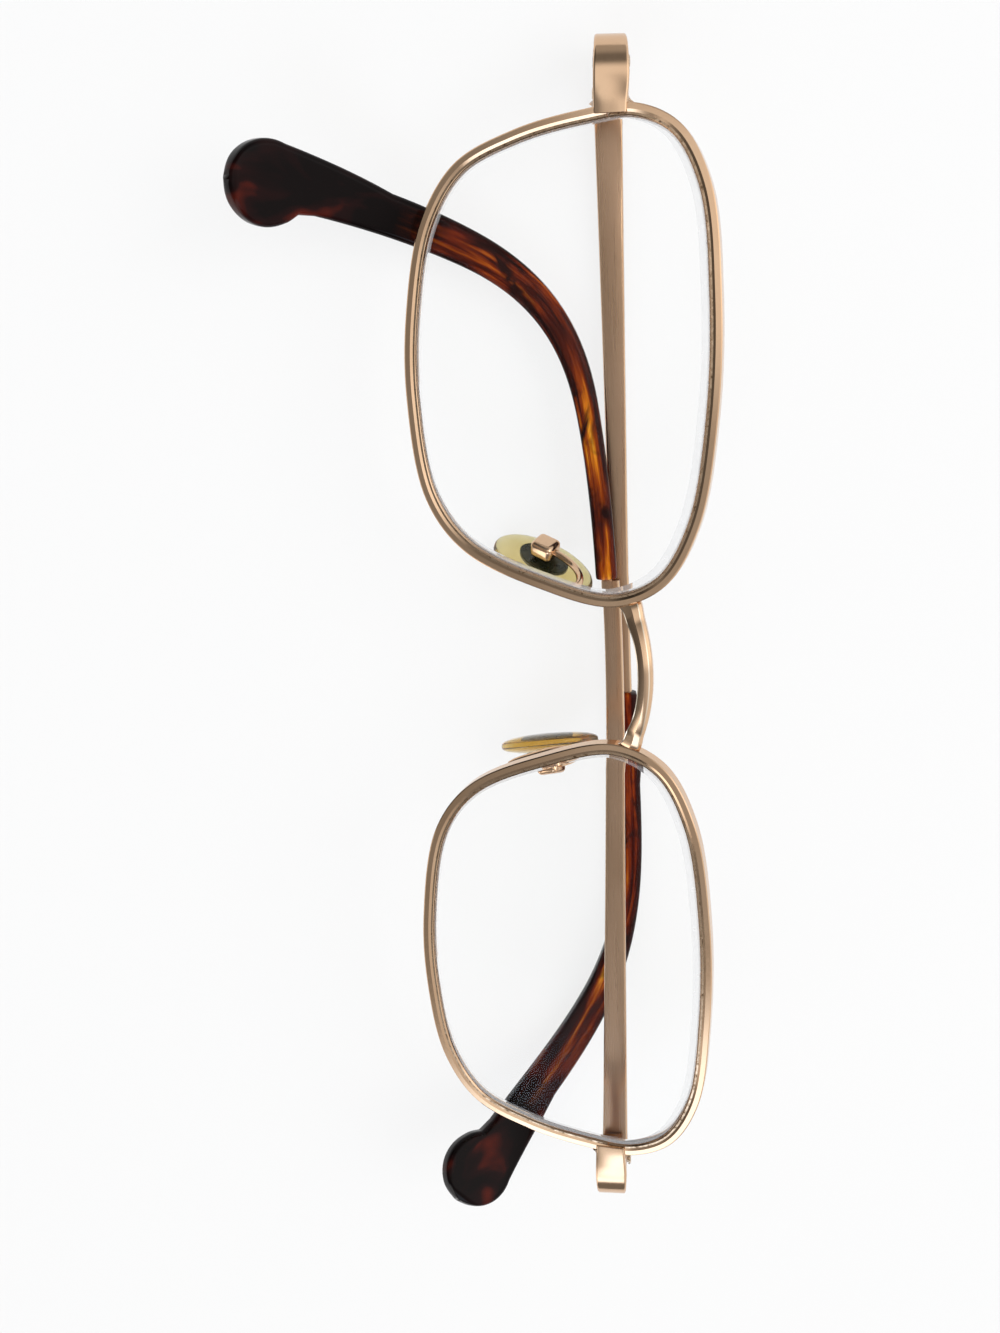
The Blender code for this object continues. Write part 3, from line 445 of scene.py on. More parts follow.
def pass_light(shader, *names):
    """Let the named kinds of ray straight through the surface."""
    clear = shader.node("ShaderNodeBsdfTransparent")
    mix = shader.node("ShaderNodeMixShader")
    shader.link(rays(shader, *names), mix.inputs[0])
    shader.link(shader.main.outputs[0], mix.inputs[1])
    shader.link(clear.outputs[0], mix.inputs[2])
    shader.link(mix.outputs[0], shader.tree.nodes["Material Output"].inputs["Surface"])


def pad_material():
    """Clear soft plastic that looks pale through its thickness and amber edge on."""
    shader = Shader("pad_soft_amber", Transmission_Weight=0.9, IOR=1.4)
    fine = shader.noise(shader.place((1, 1, 1)), 700.0, 2.0)
    shader.set("Roughness", shader.span(fine, 0.05, 0.14, 0.3, 0.7))
    shader.set("Base Color", shader.ramp(fine, ((0.3, (0.78, 0.77, 0.56)), (0.7, (0.86, 0.84, 0.66)))))
    shader.bump(fine, 0.05, 0.00005)
    absorb = shader.node("ShaderNodeVolumeAbsorption")
    absorb.inputs["Color"].default_value = PAD_ABSORPTION
    absorb.inputs["Density"].default_value = PAD_DENSITY
    shader.link(absorb.outputs["Volume"], shader.tree.nodes["Material Output"].inputs["Volume"])
    return shader.material


def lens_material():
    """Clear resin that lets the lamp's light and the floor's light straight through."""
    shader = Shader("lens_clear_resin", Transmission_Weight=1.0, IOR=LENS_INDEX, Roughness=0.0)
    shader.main.inputs["Specular Tint"].default_value = LENS_MIRROR_TINT
    haze = shader.noise(shader.place((1, 1, 1)), 40.0, 2.0)
    shader.set("Base Color", shader.ramp(haze, ((0.3, (0.985, 0.99, 0.99)), (0.7, (1.0, 1.0, 1.0)))))
    pass_light(shader, "Is Shadow Ray", "Is Diffuse Ray")
    return shader.material


def lens_edge_material():
    """Ground bevel of the lens edge: a grey white haze over the clear resin."""
    shader = Shader("lens_ground_edge", IOR=1.5)
    fine = shader.noise(shader.place((1, 1, 1)), 1500.0, 3.0)
    shader.set("Roughness", shader.span(fine, 0.35, 0.6, 0.3, 0.7))
    shader.set("Base Color", shader.ramp(fine, ((0.3, (0.72, 0.74, 0.77)), (0.7, (0.84, 0.85, 0.87)))))
    shader.main.inputs["Alpha"].default_value = LENS_EDGE_ALPHA
    return shader.material


def insert_material():
    """Dark plate and lug that show through the soft pad."""
    shader = Shader("pad_insert_dark", Metallic=0.3)
    fine = shader.noise(shader.place((1, 1, 1)), 900.0, 3.0)
    shader.set("Roughness", shader.span(fine, 0.2, 0.4, 0.3, 0.7))
    shader.set("Base Color", shader.ramp(fine, ((0.3, (0.015, 0.018, 0.008)), (0.7, (0.05, 0.05, 0.02)))))
    return shader.material


GOLD = metal("satin_gold", (0.65, 0.43, 0.27), (0.73, 0.51, 0.34), (0.12, 0.18))
# Lighter copy of the gold, used for painted highlight lines on the bridge's facet edges
PAINTED_HIGHLIGHT_GOLD = metal("painted_highlight_gold_line", (0.84, 0.70, 0.53), (0.93, 0.81, 0.66), (0.08, 0.16))
# Darker copy of the gold, used for a painted dark shade line on the bridge's cheek side
PAINTED_SHADE_GOLD = metal("painted_shade_gold_line", (0.13, 0.07, 0.035), (0.22, 0.125, 0.07), (0.22, 0.34))
SPECKLED = speckled_metal("speckled_gold_groove")
STRIP = metal("brushed_bronze", (0.37, 0.235, 0.145), (0.47, 0.31, 0.205), (0.24, 0.36), wear_scale=60.0,
              grain=(0.06, 6.0, 1.0))
SCREW = metal("screw_gold", (0.50, 0.38, 0.26), (0.62, 0.49, 0.36), (0.2, 0.34))
TORTOISE = {name: tortoiseshell(name) for name in SIDES}
PAD_SOFT = pad_material()
LENS = lens_material()
LENS_EDGE = lens_edge_material()
INSERT = insert_material()


# Shape helpers

def blend(start, end, share):
    return start + (end - start) * share


def smooth_step(value):
    value = min(1.0, max(0.0, value))
    return value * value * (3 - 2 * value)


def skin(name, rings, matrix, materials, bands=None, across=None, smooth_angle=SKIN_SHARP):
    """Skin equal rings, with UVs in millimetres along and round or across, and a material per band."""
    shape = bmesh.new()
    layer = shape.loops.layers.uv.new("UVMap")
    loops = [[shape.verts.new(matrix @ Vector(point)) for point in ring] for ring in rings]
    count = len(rings[0])
    round_at = [0.0]
    middle_ring = rings[len(rings) // 2]
    for i in range(count):
        gap = Vector(middle_ring[(i + 1) % count]) - Vector(middle_ring[i])
        round_at.append(round_at[-1] + gap.length)
    centres = [sum((Vector(point) for point in ring), Vector()) / count for ring in rings]
    along_at = [0.0]
    for near, far in zip(centres, centres[1:]):
        along_at.append(along_at[-1] + (far - near).length)
    for k in range(len(rings) - 1):
        near, far = loops[k], loops[k + 1]
        u0, u1 = along_at[k], along_at[k + 1]
        for i in range(count):
            j = (i + 1) % count
            face = shape.faces.new((near[i], near[j], far[j], far[i]))
            if across:
                sides = (across[k][i], across[k][j], across[k + 1][j], across[k + 1][i])
            else:
                sides = (round_at[i], round_at[i + 1], round_at[i + 1], round_at[i])
            for loop, u, v in zip(face.loops, (u0, u0, u1, u1), sides):
                loop[layer].uv = (u, v)
            face.material_index = bands[i] if bands else 0
    for k in (0, -1):
        cap = shape.faces.new(loops[k])
        for i, loop in enumerate(cap.loops):
            loop[layer].uv = (along_at[k], across[k][i] if across else round_at[i])
    return finish_mesh(name, shape, materials, smooth_angle)


def finish_mesh(name, shape, materials, smooth_angle=SKIN_SHARP):
    """Turn a bmesh into a linked piece, smooth but for its sharp edges."""
    bmesh.ops.recalc_face_normals(shape, faces=shape.faces)
    if shape.calc_volume(signed=True) < 0:
        bmesh.ops.reverse_faces(shape, faces=shape.faces)
    mesh = bpy.data.meshes.new(name)
    shape.to_mesh(mesh)
    shape.free()
    piece = bpy.data.objects.new(name, mesh)
    bpy.context.scene.collection.objects.link(piece)
    for material in materials:
        mesh.materials.append(material)
    mesh.shade_smooth()
    mesh.set_sharp_from_angle(angle=math.radians(smooth_angle))
    return piece


def dress(piece, body, node):
    """Let a piece stand for one CAD node, on the node's body."""
    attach(piece, body)
    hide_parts(node)


def rounded_rectangle(low, high, half_thickness, radius, arc_steps, crown=0.0):
    """Ring of (across, through) points; crown lifts the middle of the front side."""
    points = []
    corners = (
        (high - radius, half_thickness - radius, 0),
        (low + radius, half_thickness - radius, 90),
        (low + radius, radius - half_thickness, 180),
        (high - radius, radius - half_thickness, 270),
    )
    for number, (across, through, start) in enumerate(corners):
        for step in range(arc_steps + 1):
            angle = math.radians(start + 90.0 * step / arc_steps)
            points.append((across + radius * math.cos(angle), through + radius * math.sin(angle)))
        if number == 0 and crown:
            for share in (0.125, 0.25, 0.375, 0.5, 0.625, 0.75, 0.875):
                lift = crown * (1 - (2 * share - 1) ** 4)
                points.append((blend(high - radius, low + radius, share), half_thickness + lift))
    return points


# Lens outline and front surface

def smooth_loop(points, steps):
    """Closed centripetal Catmull-Rom curve through the points."""
    points = [Vector(point) for point in points]
    count = len(points)
    gaps = [math.sqrt((points[(i + 1) % count] - points[i]).length) for i in range(count)]
    curve = []
    for i in range(count):
        p0, p1, p2, p3 = (points[(i + k) % count] for k in (-1, 0, 1, 2))
        t1 = gaps[i - 1]
        t2 = t1 + gaps[i]
        t3 = t2 + gaps[(i + 1) % count]
        for step in range(steps):
            t = blend(t1, t2, step / steps)
            a1 = p0.lerp(p1, t / t1)
            a2 = p1.lerp(p2, (t - t1) / (t2 - t1))
            a3 = p2.lerp(p3, (t - t2) / (t3 - t2))
            b1 = a1.lerp(a2, t / t2)
            b2 = a2.lerp(a3, (t - t1) / (t3 - t1))
            curve.append(b1.lerp(b2, (t - t1) / (t2 - t1)))
    return curve


def inward(points):
    """Unit normals of a closed outline, toward its inside."""
    count = len(points)
    normals = []
    for i in range(count):
        along = points[(i + 1) % count] - points[i - 1]
        normals.append(Vector((-along.y, along.x)).normalized())
    return normals


def on_front(side, point, depth):
    """Place a point of the lens outline on the curved, wrapped front, a depth behind its surface."""
    across, up = point
    bow = -(across * across + up * up) / (2 * LENS_CURVE_RADIUS) - depth
    wrap = math.radians(LENS_WRAP)
    x = LENS_DISTANCE / 2 + across * math.cos(wrap) + bow * math.sin(wrap)
    z = bow * math.cos(wrap) - across * math.sin(wrap)
    return Vector((side * x, up, z))


def scaled_outline():
    """Smooth closed outline of the rim's outside, in millimetres about the lens's middle."""
    shape = [(LENS_WIDTH / 2 * x, LENS_HEIGHT / 2 * y) for x, y in OUTLINE_SHAPE]
    return smooth_loop(shape, OUTLINE_STEPS)


def split_outline():
    """Outline as an open path that starts and ends at the rim's split behind the endpiece."""
    loop = scaled_outline()
    count = len(loop)
    for i in range(count):
        here, there = loop[i], loop[(i + 1) % count]
        if here.x > 0 and here.y <= RIM_SPLIT_HEIGHT < there.y:
            crossing = i
    here, there = loop[crossing], loop[(crossing + 1) % count]
    along = (there - here).normalized()
    middle = here.lerp(there, (RIM_SPLIT_HEIGHT - here.y) / (there.y - here.y))
    order = [loop[(crossing + 1 + k) % count] for k in range(count)]
    kept = [point for point in order if (point - middle).length > RIM_SPLIT]
    return [middle + along * RIM_SPLIT / 2] + kept + [middle - along * RIM_SPLIT / 2]


# Rims and lenses

def rim_profile():
    """Wire section as (inset, depth, band): chamfered flat front, nicked lip, inner slope and groove."""
    lip = GROOVE_WIDTH / 2
    middle = RIM_DEPTH / 2
    deep = RIM_DEPTH
    wide = RIM_WIDTH
    skin_in = SKIN_INSET
    return (
        (skin_in, 1.2, 0), (skin_in, 0.5, 0), (skin_in, 0.10, 0),
        (0.14, skin_in, 0), (0.42, skin_in, 0), (0.70, skin_in, 0),
        (0.98, 0.19, 1), (1.20, 0.19, 0), (wide, 0.34, 0),
        (wide, middle - lip, 0), (wide - GROOVE_DEPTH, middle, 0), (wide, middle + lip, 0),
        (wide, deep - 0.3, 0), (wide - 0.1, deep - 0.1, 0), (wide - 0.3, deep, 0),
        (0.3, deep, 0), (0.1, deep - 0.1, 0), (skin_in, deep - 0.3, 0),
    )


def make_rim(name):
    """Split eyewire, the rim section swept along the open outline."""
    side = SIDES[name]
    path = split_outline()
    normals = inward(path)
    for end, along in ((0, path[1] - path[0]), (-1, path[-1] - path[-2])):
        normals[end] = Vector((-along.y, along.x)).normalized()
    profile = rim_profile()
    rings = [[on_front(side, point + normal * inset, depth) for inset, depth, _ in profile]
             for point, normal in zip(path, normals)]
    piece = skin(name + "_rim_wire", rings, FRONT, (GOLD, SPECKLED), [band for _, _, band in profile],
                 smooth_angle=RIM_SHARP)
    dress(piece, "front", name + "_rim")


def make_lens(name):
    """Dished lens with its V edge in the groove and a ground bevel, wider at the brow and the far side."""
    side = SIDES[name]
    loop = scaled_outline()
    normals = inward(loop)
    front_depth = (RIM_DEPTH - LENS_THICKNESS) / 2
    back_depth = front_depth + LENS_THICKNESS
    middle = RIM_DEPTH / 2
    body = RIM_WIDTH + LENS_EDGE_GAP
    ridge = RIM_WIDTH - GROOVE_DEPTH + LENS_EDGE_GAP * 1.5
    edge = [point + normal * body for point, normal in zip(loop, normals)]
    tip = [point + normal * ridge for point, normal in zip(loop, normals)]
    bevel = []
    for point, normal in zip(edge, normals):
        width = (BEVEL_WIDTH + BEVEL_AT_BROW * max(0.0, -normal.y)
                 + BEVEL_AT_FAR_SIDE * max(0.0, -side * normal.x))
        bevel.append(point + normal * width)

    def ring(points, scale, depth):
        return [on_front(side, point * scale, depth) for point in points]

    rings = [ring(bevel, scale, front_depth) for scale in LENS_RING_SCALES]
    rings.append(ring(bevel, 1.0, front_depth))
    ground_start = len(rings) - 1
    rings.append(ring(edge, 1.0, front_depth + BEVEL_DROP))
    rings.append(ring(edge, 1.0, middle - V_EDGE_HALF))
    rings.append(ring(tip, 1.0, middle))
    rings.append(ring(edge, 1.0, middle + V_EDGE_HALF))
    rings.append(ring(edge, 1.0, back_depth))
    ground_end = len(rings) - 1
    rings.extend(ring(edge, scale, back_depth) for scale in reversed(LENS_RING_SCALES))
    piece = skin(name + "_lens_clear", rings, FRONT, (LENS, LENS_EDGE))
    count = len(loop)
    for polygon in piece.data.polygons[ground_start * count:ground_end * count]:
        polygon.material_index = 1
    dress(piece, "front", name + "_lens")


# Bridge

def nasal_edge(height):
    """Distance from the middle to the rim's outer edge beside the nose, at a height."""
    loop = scaled_outline()
    near = [point for point in loop if point.x < 0]
    near.sort(key=lambda point: abs(point.y - height))
    first, second = near[:2]
    share = 0.0 if first.y == second.y else (height - first.y) / (second.y - first.y)
    return on_front(1, first.lerp(second, min(1.0, max(0.0, share))), 0).x


def make_bridge():
    """Arched bar with a dark cheek facet, a ridge, a light top and a brow facet, flared at both feet; thin
    bands carry painted highlight lines and a painted dark shade line along the facet edges.
    """
    half = BRIDGE_SPAN / 2
    rings = []
    for station in range(BRIDGE_STATIONS + 1):
        share = blend(-1.0, 1.0, station / BRIDGE_STATIONS)
        inner = 1 - share * share
        arch = max(0.0, inner) ** BRIDGE_ARCH_POWER
        centre = Vector((share * half, BRIDGE_FOOT_HEIGHT + BRIDGE_RISE * arch,
                         BRIDGE_FOOT_DEPTH + BRIDGE_FORWARD * inner))
        steep = max(0.2, inner) ** (BRIDGE_ARCH_POWER - 1)
        slope = -2 * BRIDGE_ARCH_POWER * share * BRIDGE_RISE / half * steep
        across = Vector((-slope, 1, 0)).normalized()
        end = max(0.0, (abs(share) - BRIDGE_TOE_START) / (1 - BRIDGE_TOE_START))
        flare = BRIDGE_FLARE * abs(share) ** 4
        toe = BRIDGE_TOE * end ** 3
        low = -(BRIDGE_WIDTH + flare) / 2 - toe
        high = (BRIDGE_WIDTH + flare * 0.6) / 2
        front = BRIDGE_THICKNESS / 2
        ridge = -0.05 - toe * 0.5
        # Band 1 is a painted highlight line and band 2 a painted dark shade line, each a recoloured copy of
        # the gold
        section = (
            (high, -0.1, 0), (high, front * 0.28, 0), (high - 0.05, front * 0.42, 0),
            (high - 0.30, front * 0.72, 1), (high - 0.42, front * 0.80, 0),
            (ridge + 0.05, front * 0.99, 0), (ridge, front, 0), (ridge - 0.06, front * 0.98, 0),
            (low + 0.15, front * 0.71, 2), (low + 0.12, front * 0.69, 1), (low + 0.02, front * 0.73, 0),
            (low, front * 0.60, 0), (low, -0.35, 0), (low + 0.06, -0.6, 0),
            (low + 0.35, -front, 0), (0.0, -front, 0),
            (high - 0.35, -front, 0), (high - 0.04, -front * 0.6, 0),
        )
        ring = []
        for w, depth, _ in section:
            point = centre + across * w + Vector((0, 0, depth))
            edge = math.copysign(nasal_edge(point.y) + 0.05, share)
            fit = smooth_step((abs(share) - BRIDGE_FIT_START) / (1 - BRIDGE_FIT_START))
            point.x = blend(point.x, edge, fit)
            ring.append(point)
        rings.append(ring)
    piece = skin("bridge_bar", rings, FRONT, (GOLD, PAINTED_HIGHLIGHT_GOLD, PAINTED_SHADE_GOLD), [band for _, _, band in section],
                 smooth_angle=BRIDGE_SHARP)
    dress(piece, "front", "bridge")


# Endpieces

def make_endpiece(name):
    """Strap that lies over the rim with a fillet each side, and turns back to the hinge."""
    side = SIDES[name]
    tilt = Matrix.Rotation(math.radians(-HINGE_TILT[name]), 3, "X")
    hinge = Vector((side * HINGE_OUT, HINGE_HEIGHT[name], -HINGE_BACK))
    middle = STRAP_THICKNESS / 2
    rim_edge = on_front(1, split_outline()[0], 0).x - HINGE_OUT
    line_x = STRAP_OUTSIDE - middle
    line_z = STRAP_FRONT - middle
    bend_start = line_x - STRAP_BEND
    path = []
    for share in STRAP_SHARES:
        path.append(((blend(rim_edge - STRAP_LAP, bend_start, share), line_z), (0, 1), 1 - share, 0.0))
    for step in range(STRAP_BEND_STEPS + 1):
        angle = math.radians(90 - 90 * step / STRAP_BEND_STEPS)
        out = (math.cos(angle), math.sin(angle))
        path.append(((bend_start + STRAP_BEND * out[0], line_z - STRAP_BEND + STRAP_BEND * out[1]),
                     out, 0.0, step / STRAP_BEND_STEPS))
    path.append(((line_x, BUTT_GAP + 0.1), (1, 0), 0.0, 1.0))
    path.append(((line_x, BUTT_GAP), (1, 0), 0.0, 1.0))
    rings = []
    for number, ((x, z), (nx, nz), inner, rear) in enumerate(path):
        half = blend(STRAP_HEIGHT, STRAP_REAR_HEIGHT, rear) / 2 - STRAP_WAIST * smooth_step(inner)
        thick = middle - SKIN_INSET
        if number in (0, len(path) - 1):
            half -= STRAP_END_ROUND
            thick -= STRAP_END_ROUND
        level = smooth_step(inner * 1.15)
        turn = Matrix.Rotation(math.radians(-HINGE_TILT[name] * (1 - level)), 3, "X")
        bow = STRAP_BOW * inner * (2 - inner)
        centre = hinge + tilt @ Vector((side * x, 0, z)) + Vector((0, 0, STRAP_LIFT * level + bow))
        beyond = max(0.0, 1 - abs(x - rim_edge - 0.1) / FILLET_REACH) if inner > 0 else 0.0
        # Never quite zero, so that every ring keeps the crown's points
        crown = STRAP_CROWN * smooth_step(inner / 0.25) or 0.0001
        ring = []
        for across, through in rounded_rectangle(-half, half, thick, STRAP_CORNER, 6, crown):
            if through < thick * 0.35:
                across += math.copysign(FILLET * beyond ** 2, across)
            ring.append(centre + turn @ Vector((side * nx * through, across, nz * through)))
        rings.append(ring)
    piece = skin(name + "_endpiece_strap", rings, FRONT, (GOLD,))
    dress(piece, "front", name + "_endpiece")


# Temples

def temple_heading(name, length):
    """Direction of the temple at a length from the hinge, in its own plane."""
    ease = max(0.0, (length - EASE_START) / (TEMPLE_LENGTH - EASE_START)) ** 2
    hook = smooth_step((length - HOOK_START[name]) / HOOK_LENGTH[name])
    return math.radians(STRIP_RAKE[name] - EASE_BEND[name] * ease - HOOK_BEND[name] * hook)


def curl_angle(length):
    """Turn of the last stretch out of the temple's plane, toward the head."""
    return max(0.0, length - (TEMPLE_LENGTH - CURL_LENGTH)) / CURL_RADIUS


def temple_stations(name, lengths, stride=0.5):
    """Centre, up and out directions at each length, walked in small strides in the temple's frame."""
    side = SIDES[name]
    depth = STRIP_THICKNESS / 2 - STRAP_OUTSIDE
    point = Vector((0, STRIP_OFFSET[name] + CORE_OFFSET[name], depth))
    travelled = 0.0
    stations = []
    for length in lengths:
        pieces = max(1, math.ceil((length - travelled) / stride))
        step = (length - travelled) / pieces
        for _ in range(pieces):
            heading = temple_heading(name, travelled + step / 2)
            rise = curl_angle(travelled + step / 2)
            point = point + step * Vector((math.cos(heading) * math.cos(rise),
                                           math.sin(heading) * math.cos(rise), math.sin(rise)))
            travelled += step
        heading = temple_heading(name, length)
        rise = curl_angle(length)
        up = Vector((side * math.sin(heading), math.cos(heading), 0))
        out = Vector((side * math.cos(heading) * math.sin(rise), -math.sin(heading) * math.sin(rise),
                      math.cos(rise)))
        stations.append((Vector((-side * point.x, point.y, point.z)), up, out))
    return stations


def section_ring(station, section):
    """Place a section's (across, through) points at a station."""
    centre, up, out = station
    return [centre + up * across + out * through for across, through in section]


def make_temple(name):
    """Tapered strip with a chamfered edge that runs on as the core wire inside the tip."""
    start = TIP_START[name]
    shift_up = CORE_OFFSET[name]
    lengths = [BUTT_GAP, BUTT_GAP + 0.12]
    lengths += [blend(1.5, start - SEAT_GAP, k / STRIP_STEPS) for k in range(STRIP_STEPS + 1)]
    rings = []
    for number, (length, station) in enumerate(zip(lengths, temple_stations(name, lengths))):
        share = (1 - length / start) ** STRIP_TAPER_POWER
        half = blend(STRIP_END_HEIGHT, STRIP_ROOT_HEIGHT, share) / 2
        thick = STRIP_THICKNESS / 2
        if number == 0:
            half -= STRIP_END_ROUND
            thick -= STRIP_END_ROUND
        section = rounded_rectangle(-half - shift_up, half - shift_up, thick, STRIP_CHAMFER, 2)
        rings.append(section_ring(station, section))
    core = rounded_rectangle(-CORE_HALF_WIDTH, CORE_HALF_WIDTH, CORE_HALF_THICKNESS, CORE_CORNER, 2)
    last = temple_stations(name, [start - SEAT_GAP, start + 1.5])
    rings.extend(section_ring(station, core) for station in last)
    bands = [1, 1, 0] * 4
    piece = skin(name + "_temple_strip", rings, SWING[name], (STRIP, GOLD), bands)
    dress(piece, name + "_temple_arm", name + "_temple")


def tip_widths(length):
    """Half widths of the tip inside and outside its middle line, with the paddle's disc at the end."""
    left = TEMPLE_LENGTH - length
    grow = smooth_step((length - TIP_WIDEN_START) / TIP_WIDEN_LENGTH)
    inner = blend(TIP_START_WIDTH, TIP_NECK_WIDTH, grow) / 2
    outer = inner
    if left < TIP_FLARE_LENGTH:
        share = 1 - max(0.0, left) / TIP_FLARE_LENGTH
        outer = blend(inner, PADDLE_RADIUS, share)
    disc = math.sqrt(max(0.0, PADDLE_RADIUS ** 2 - left ** 2))
    inner = (max(inner * min(1.0, max(0.0, left / 3)), 0.0) ** 4 + disc ** 4) ** 0.25
    if left < 0:
        return disc, disc
    return inner, max(outer, disc)


def make_tip(name):
    """Sleeve with a rounded mouth at the strip and a thinned round paddle."""
    start = TIP_START[name]
    straight = TEMPLE_LENGTH - PADDLE_RADIUS * 1.3
    lengths = [start, start + 0.1, start + 0.3]
    lengths += [blend(start + 0.8, straight, k / TIP_STEPS) for k in range(TIP_STEPS + 1)]
    for step in range(1, PADDLE_STEPS + 1):
        angle = blend(*PADDLE_ARC, step / PADDLE_STEPS)
        lengths.append(TEMPLE_LENGTH + PADDLE_RADIUS * math.sin(math.radians(angle)))
    lengths = sorted(lengths)
    rings = []
    across = []
    for length, station in zip(lengths, temple_stations(name, lengths)):
        inner, outer = tip_widths(length)
        thick = TIP_THICKNESS / 2
        ease = min(1.0, (length - start) / TIP_MOUTH_LENGTH)
        pinch = TIP_MOUTH_ROUND * (1 - math.sqrt(1 - (1 - ease) ** 2)) + TIP_SKIN
        inner -= pinch
        outer -= pinch
        thick -= pinch
        beyond = (length - (TEMPLE_LENGTH + PADDLE_RADIUS)) / PADDLE_THINNING_LENGTH + 1
        if beyond > 0:
            thick -= PADDLE_THINNING * beyond * beyond
        radius = min(TIP_ROUNDING, 0.85 * inner, 0.95 * thick)
        section = rounded_rectangle(-inner, outer, thick, radius, 7)
        rings.append(section_ring(station, section))
        across.append([point[0] for point in section])
    piece = skin(name + "_tip_acetate", rings, SWING[name], (TORTOISE[name],), across=across)
    dress(piece, name + "_temple_arm", name + "_temple_tip")


# Nose pads, boxes and arms

def make_pad(name):
    """Soft oval, a flattened ball pressed a little squarer through its thickness."""
    side = SIDES[name]
    shape = bmesh.new()
    bmesh.ops.create_uvsphere(shape, u_segments=72, v_segments=36, radius=PAD_SKIN_RADIUS)
    centre = -side * (PAD_BACK + PAD_THICKNESS / 2)
    for vert in shape.verts:
        flat = math.copysign(abs(vert.co.z) ** PAD_FLATNESS, vert.co.z)
        vert.co = ROCK[name] @ Vector((centre - side * flat * PAD_THICKNESS / 2, vert.co.x * PAD_LENGTH / 2,
                                       vert.co.y * PAD_WIDTH / 2))
    piece = finish_mesh(name + "_pad_soft", shape, (PAD_SOFT,), PAD_SHARP)
    dress(piece, name + "_pad", name + "_nose_pad")


def make_box(name):
    """Pillow shaped box that holds the pad's pin."""
    side = SIDES[name]
    shape = bmesh.new()
    low = Vector((-BOX_FRONT if side > 0 else -BOX_BACK, -BOX_LENGTH / 2, -BOX_WIDTH / 2))
    high = Vector((BOX_BACK if side > 0 else BOX_FRONT, BOX_LENGTH / 2, BOX_WIDTH / 2))
    matrix = Matrix.Translation((low + high) / 2) @ Matrix.Diagonal((*(high - low), 1))
    bmesh.ops.create_cube(shape, size=1.0, matrix=matrix)
    bmesh.ops.bevel(shape, geom=shape.edges[:], offset=BOX_ROUND, segments=6, profile=0.5, affect="EDGES")
    for vert in shape.verts:
        vert.co = PAD[name] @ vert.co
    piece = finish_mesh(name + "_pad_box_pillow", shape, (GOLD,), BOX_SHARP)
    dress(piece, "front", name + "_pad_box")


def behind_rim(side, height):
    """Place of the pad arm's wire on the back of the rim, beside the nose, at a height."""
    loop = scaled_outline()
    normals = inward(loop)
    nasal = [i for i in range(len(loop)) if loop[i].x < 0]
    index = min(nasal, key=lambda i: abs(loop[i].y - height))
    return on_front(side, loop[index] + normals[index] * ARM_INSET, RIM_DEPTH + ARM_SOLDER + ARM_RADIUS)


def sweep_tube(name, points, radii, matrix, material):
    """Round wire along a path, its rings turned with the path."""
    rings = []
    tangents = []
    for i in range(len(points)):
        tangents.append((points[min(i + 1, len(points) - 1)] - points[max(i - 1, 0)]).normalized())
    normal = tangents[0].orthogonal().normalized()
    for point, tangent, radius in zip(points, tangents, radii):
        normal = (normal - tangent * normal.dot(tangent)).normalized()
        other = tangent.cross(normal)
        ring = []
        for k in range(ARM_SEGMENTS):
            angle = 2 * math.pi * k / ARM_SEGMENTS
            ring.append(point + (normal * math.cos(angle) + other * math.sin(angle)) * radius)
        rings.append(ring)
    return skin(name, rings, matrix, (material,))


def make_arm(name):
    """Wire that runs up the back of the rim and bows round to the box."""
    side = SIDES[name]
    pad_in_front = FRONT.inverted() @ PAD[name]
    near_box = (BOX_BACK - BOX_FRONT) / 2 * side
    top = pad_in_front @ Vector((near_box, BOX_LENGTH / 2 - 0.3, 0))
    along = (pad_in_front.to_3x3() @ Vector((0, 1, 0))).normalized()
    heights = [blend(ARM_FOOT_HEIGHT, ARM_RISE_HEIGHT, k / ARM_FOOT_STEPS) for k in range(ARM_FOOT_STEPS + 1)]
    stations = [behind_rim(side, heights[0])]
    for height in heights[1:]:
        place = behind_rim(side, height)
        if (place - stations[-1]).length > 0.15:
            stations.append(place)
    rise = stations[-1]
    upward = (rise - stations[-2]).normalized()
    controls = (rise, rise + upward * ARM_BOW[name], top + along * ARM_BOW[name], top)
    for k in range(1, ARM_BOW_STEPS + 1):
        share = k / ARM_BOW_STEPS
        rest = 1 - share
        stations.append(controls[0] * rest ** 3 + controls[1] * 3 * rest * rest * share
                        + controls[2] * 3 * rest * share * share + controls[3] * share ** 3)
    radii = [ARM_RADIUS * (0.55 if k == 0 else 0.9 if k == 1 else 1.0) for k in range(len(stations))]
    piece = sweep_tube(name + "_pad_arm_wire", stations, radii, FRONT, GOLD)
    dress(piece, "front", name + "_pad_arm")


# Floor, light and camera

def make_floor():
    """White floor that takes shadows and lets temples opened below it show through."""
    shape = bmesh.new()
    bmesh.ops.create_grid(shape, x_segments=8, y_segments=8, size=FLOOR_HALF)
    shader = Shader("floor_white", Roughness=0.9, Specular_IOR_Level=0.1)
    slow = shader.noise(shader.place((1, 1, 1)), 9.0, 2.0)
    shader.set("Base Color", shader.ramp(slow, ((0.3, (0.965, 0.966, 0.968)), (0.7, (0.985, 0.985, 0.985)))))
    clear = shader.node("ShaderNodeBsdfTransparent")
    mix = shader.node("ShaderNodeMixShader")
    seen = rays(shader, "Is Camera Ray", "Is Glossy Ray", "Is Transmission Ray")
    share = shader.span(seen, 0.0, FLOOR_CLEAR)
    underside = shader.node("ShaderNodeMath", operation="MAXIMUM")
    shader.link(share, underside.inputs[0])
    shader.link(shader.node("ShaderNodeNewGeometry").outputs["Backfacing"], underside.inputs[1])
    shader.link(underside.outputs[0], mix.inputs[0])
    shader.link(shader.main.outputs[0], mix.inputs[1])
    shader.link(clear.outputs[0], mix.inputs[2])
    shader.link(mix.outputs[0], shader.tree.nodes["Material Output"].inputs["Surface"])
    piece = finish_mesh("floor", shape, (shader.material,))


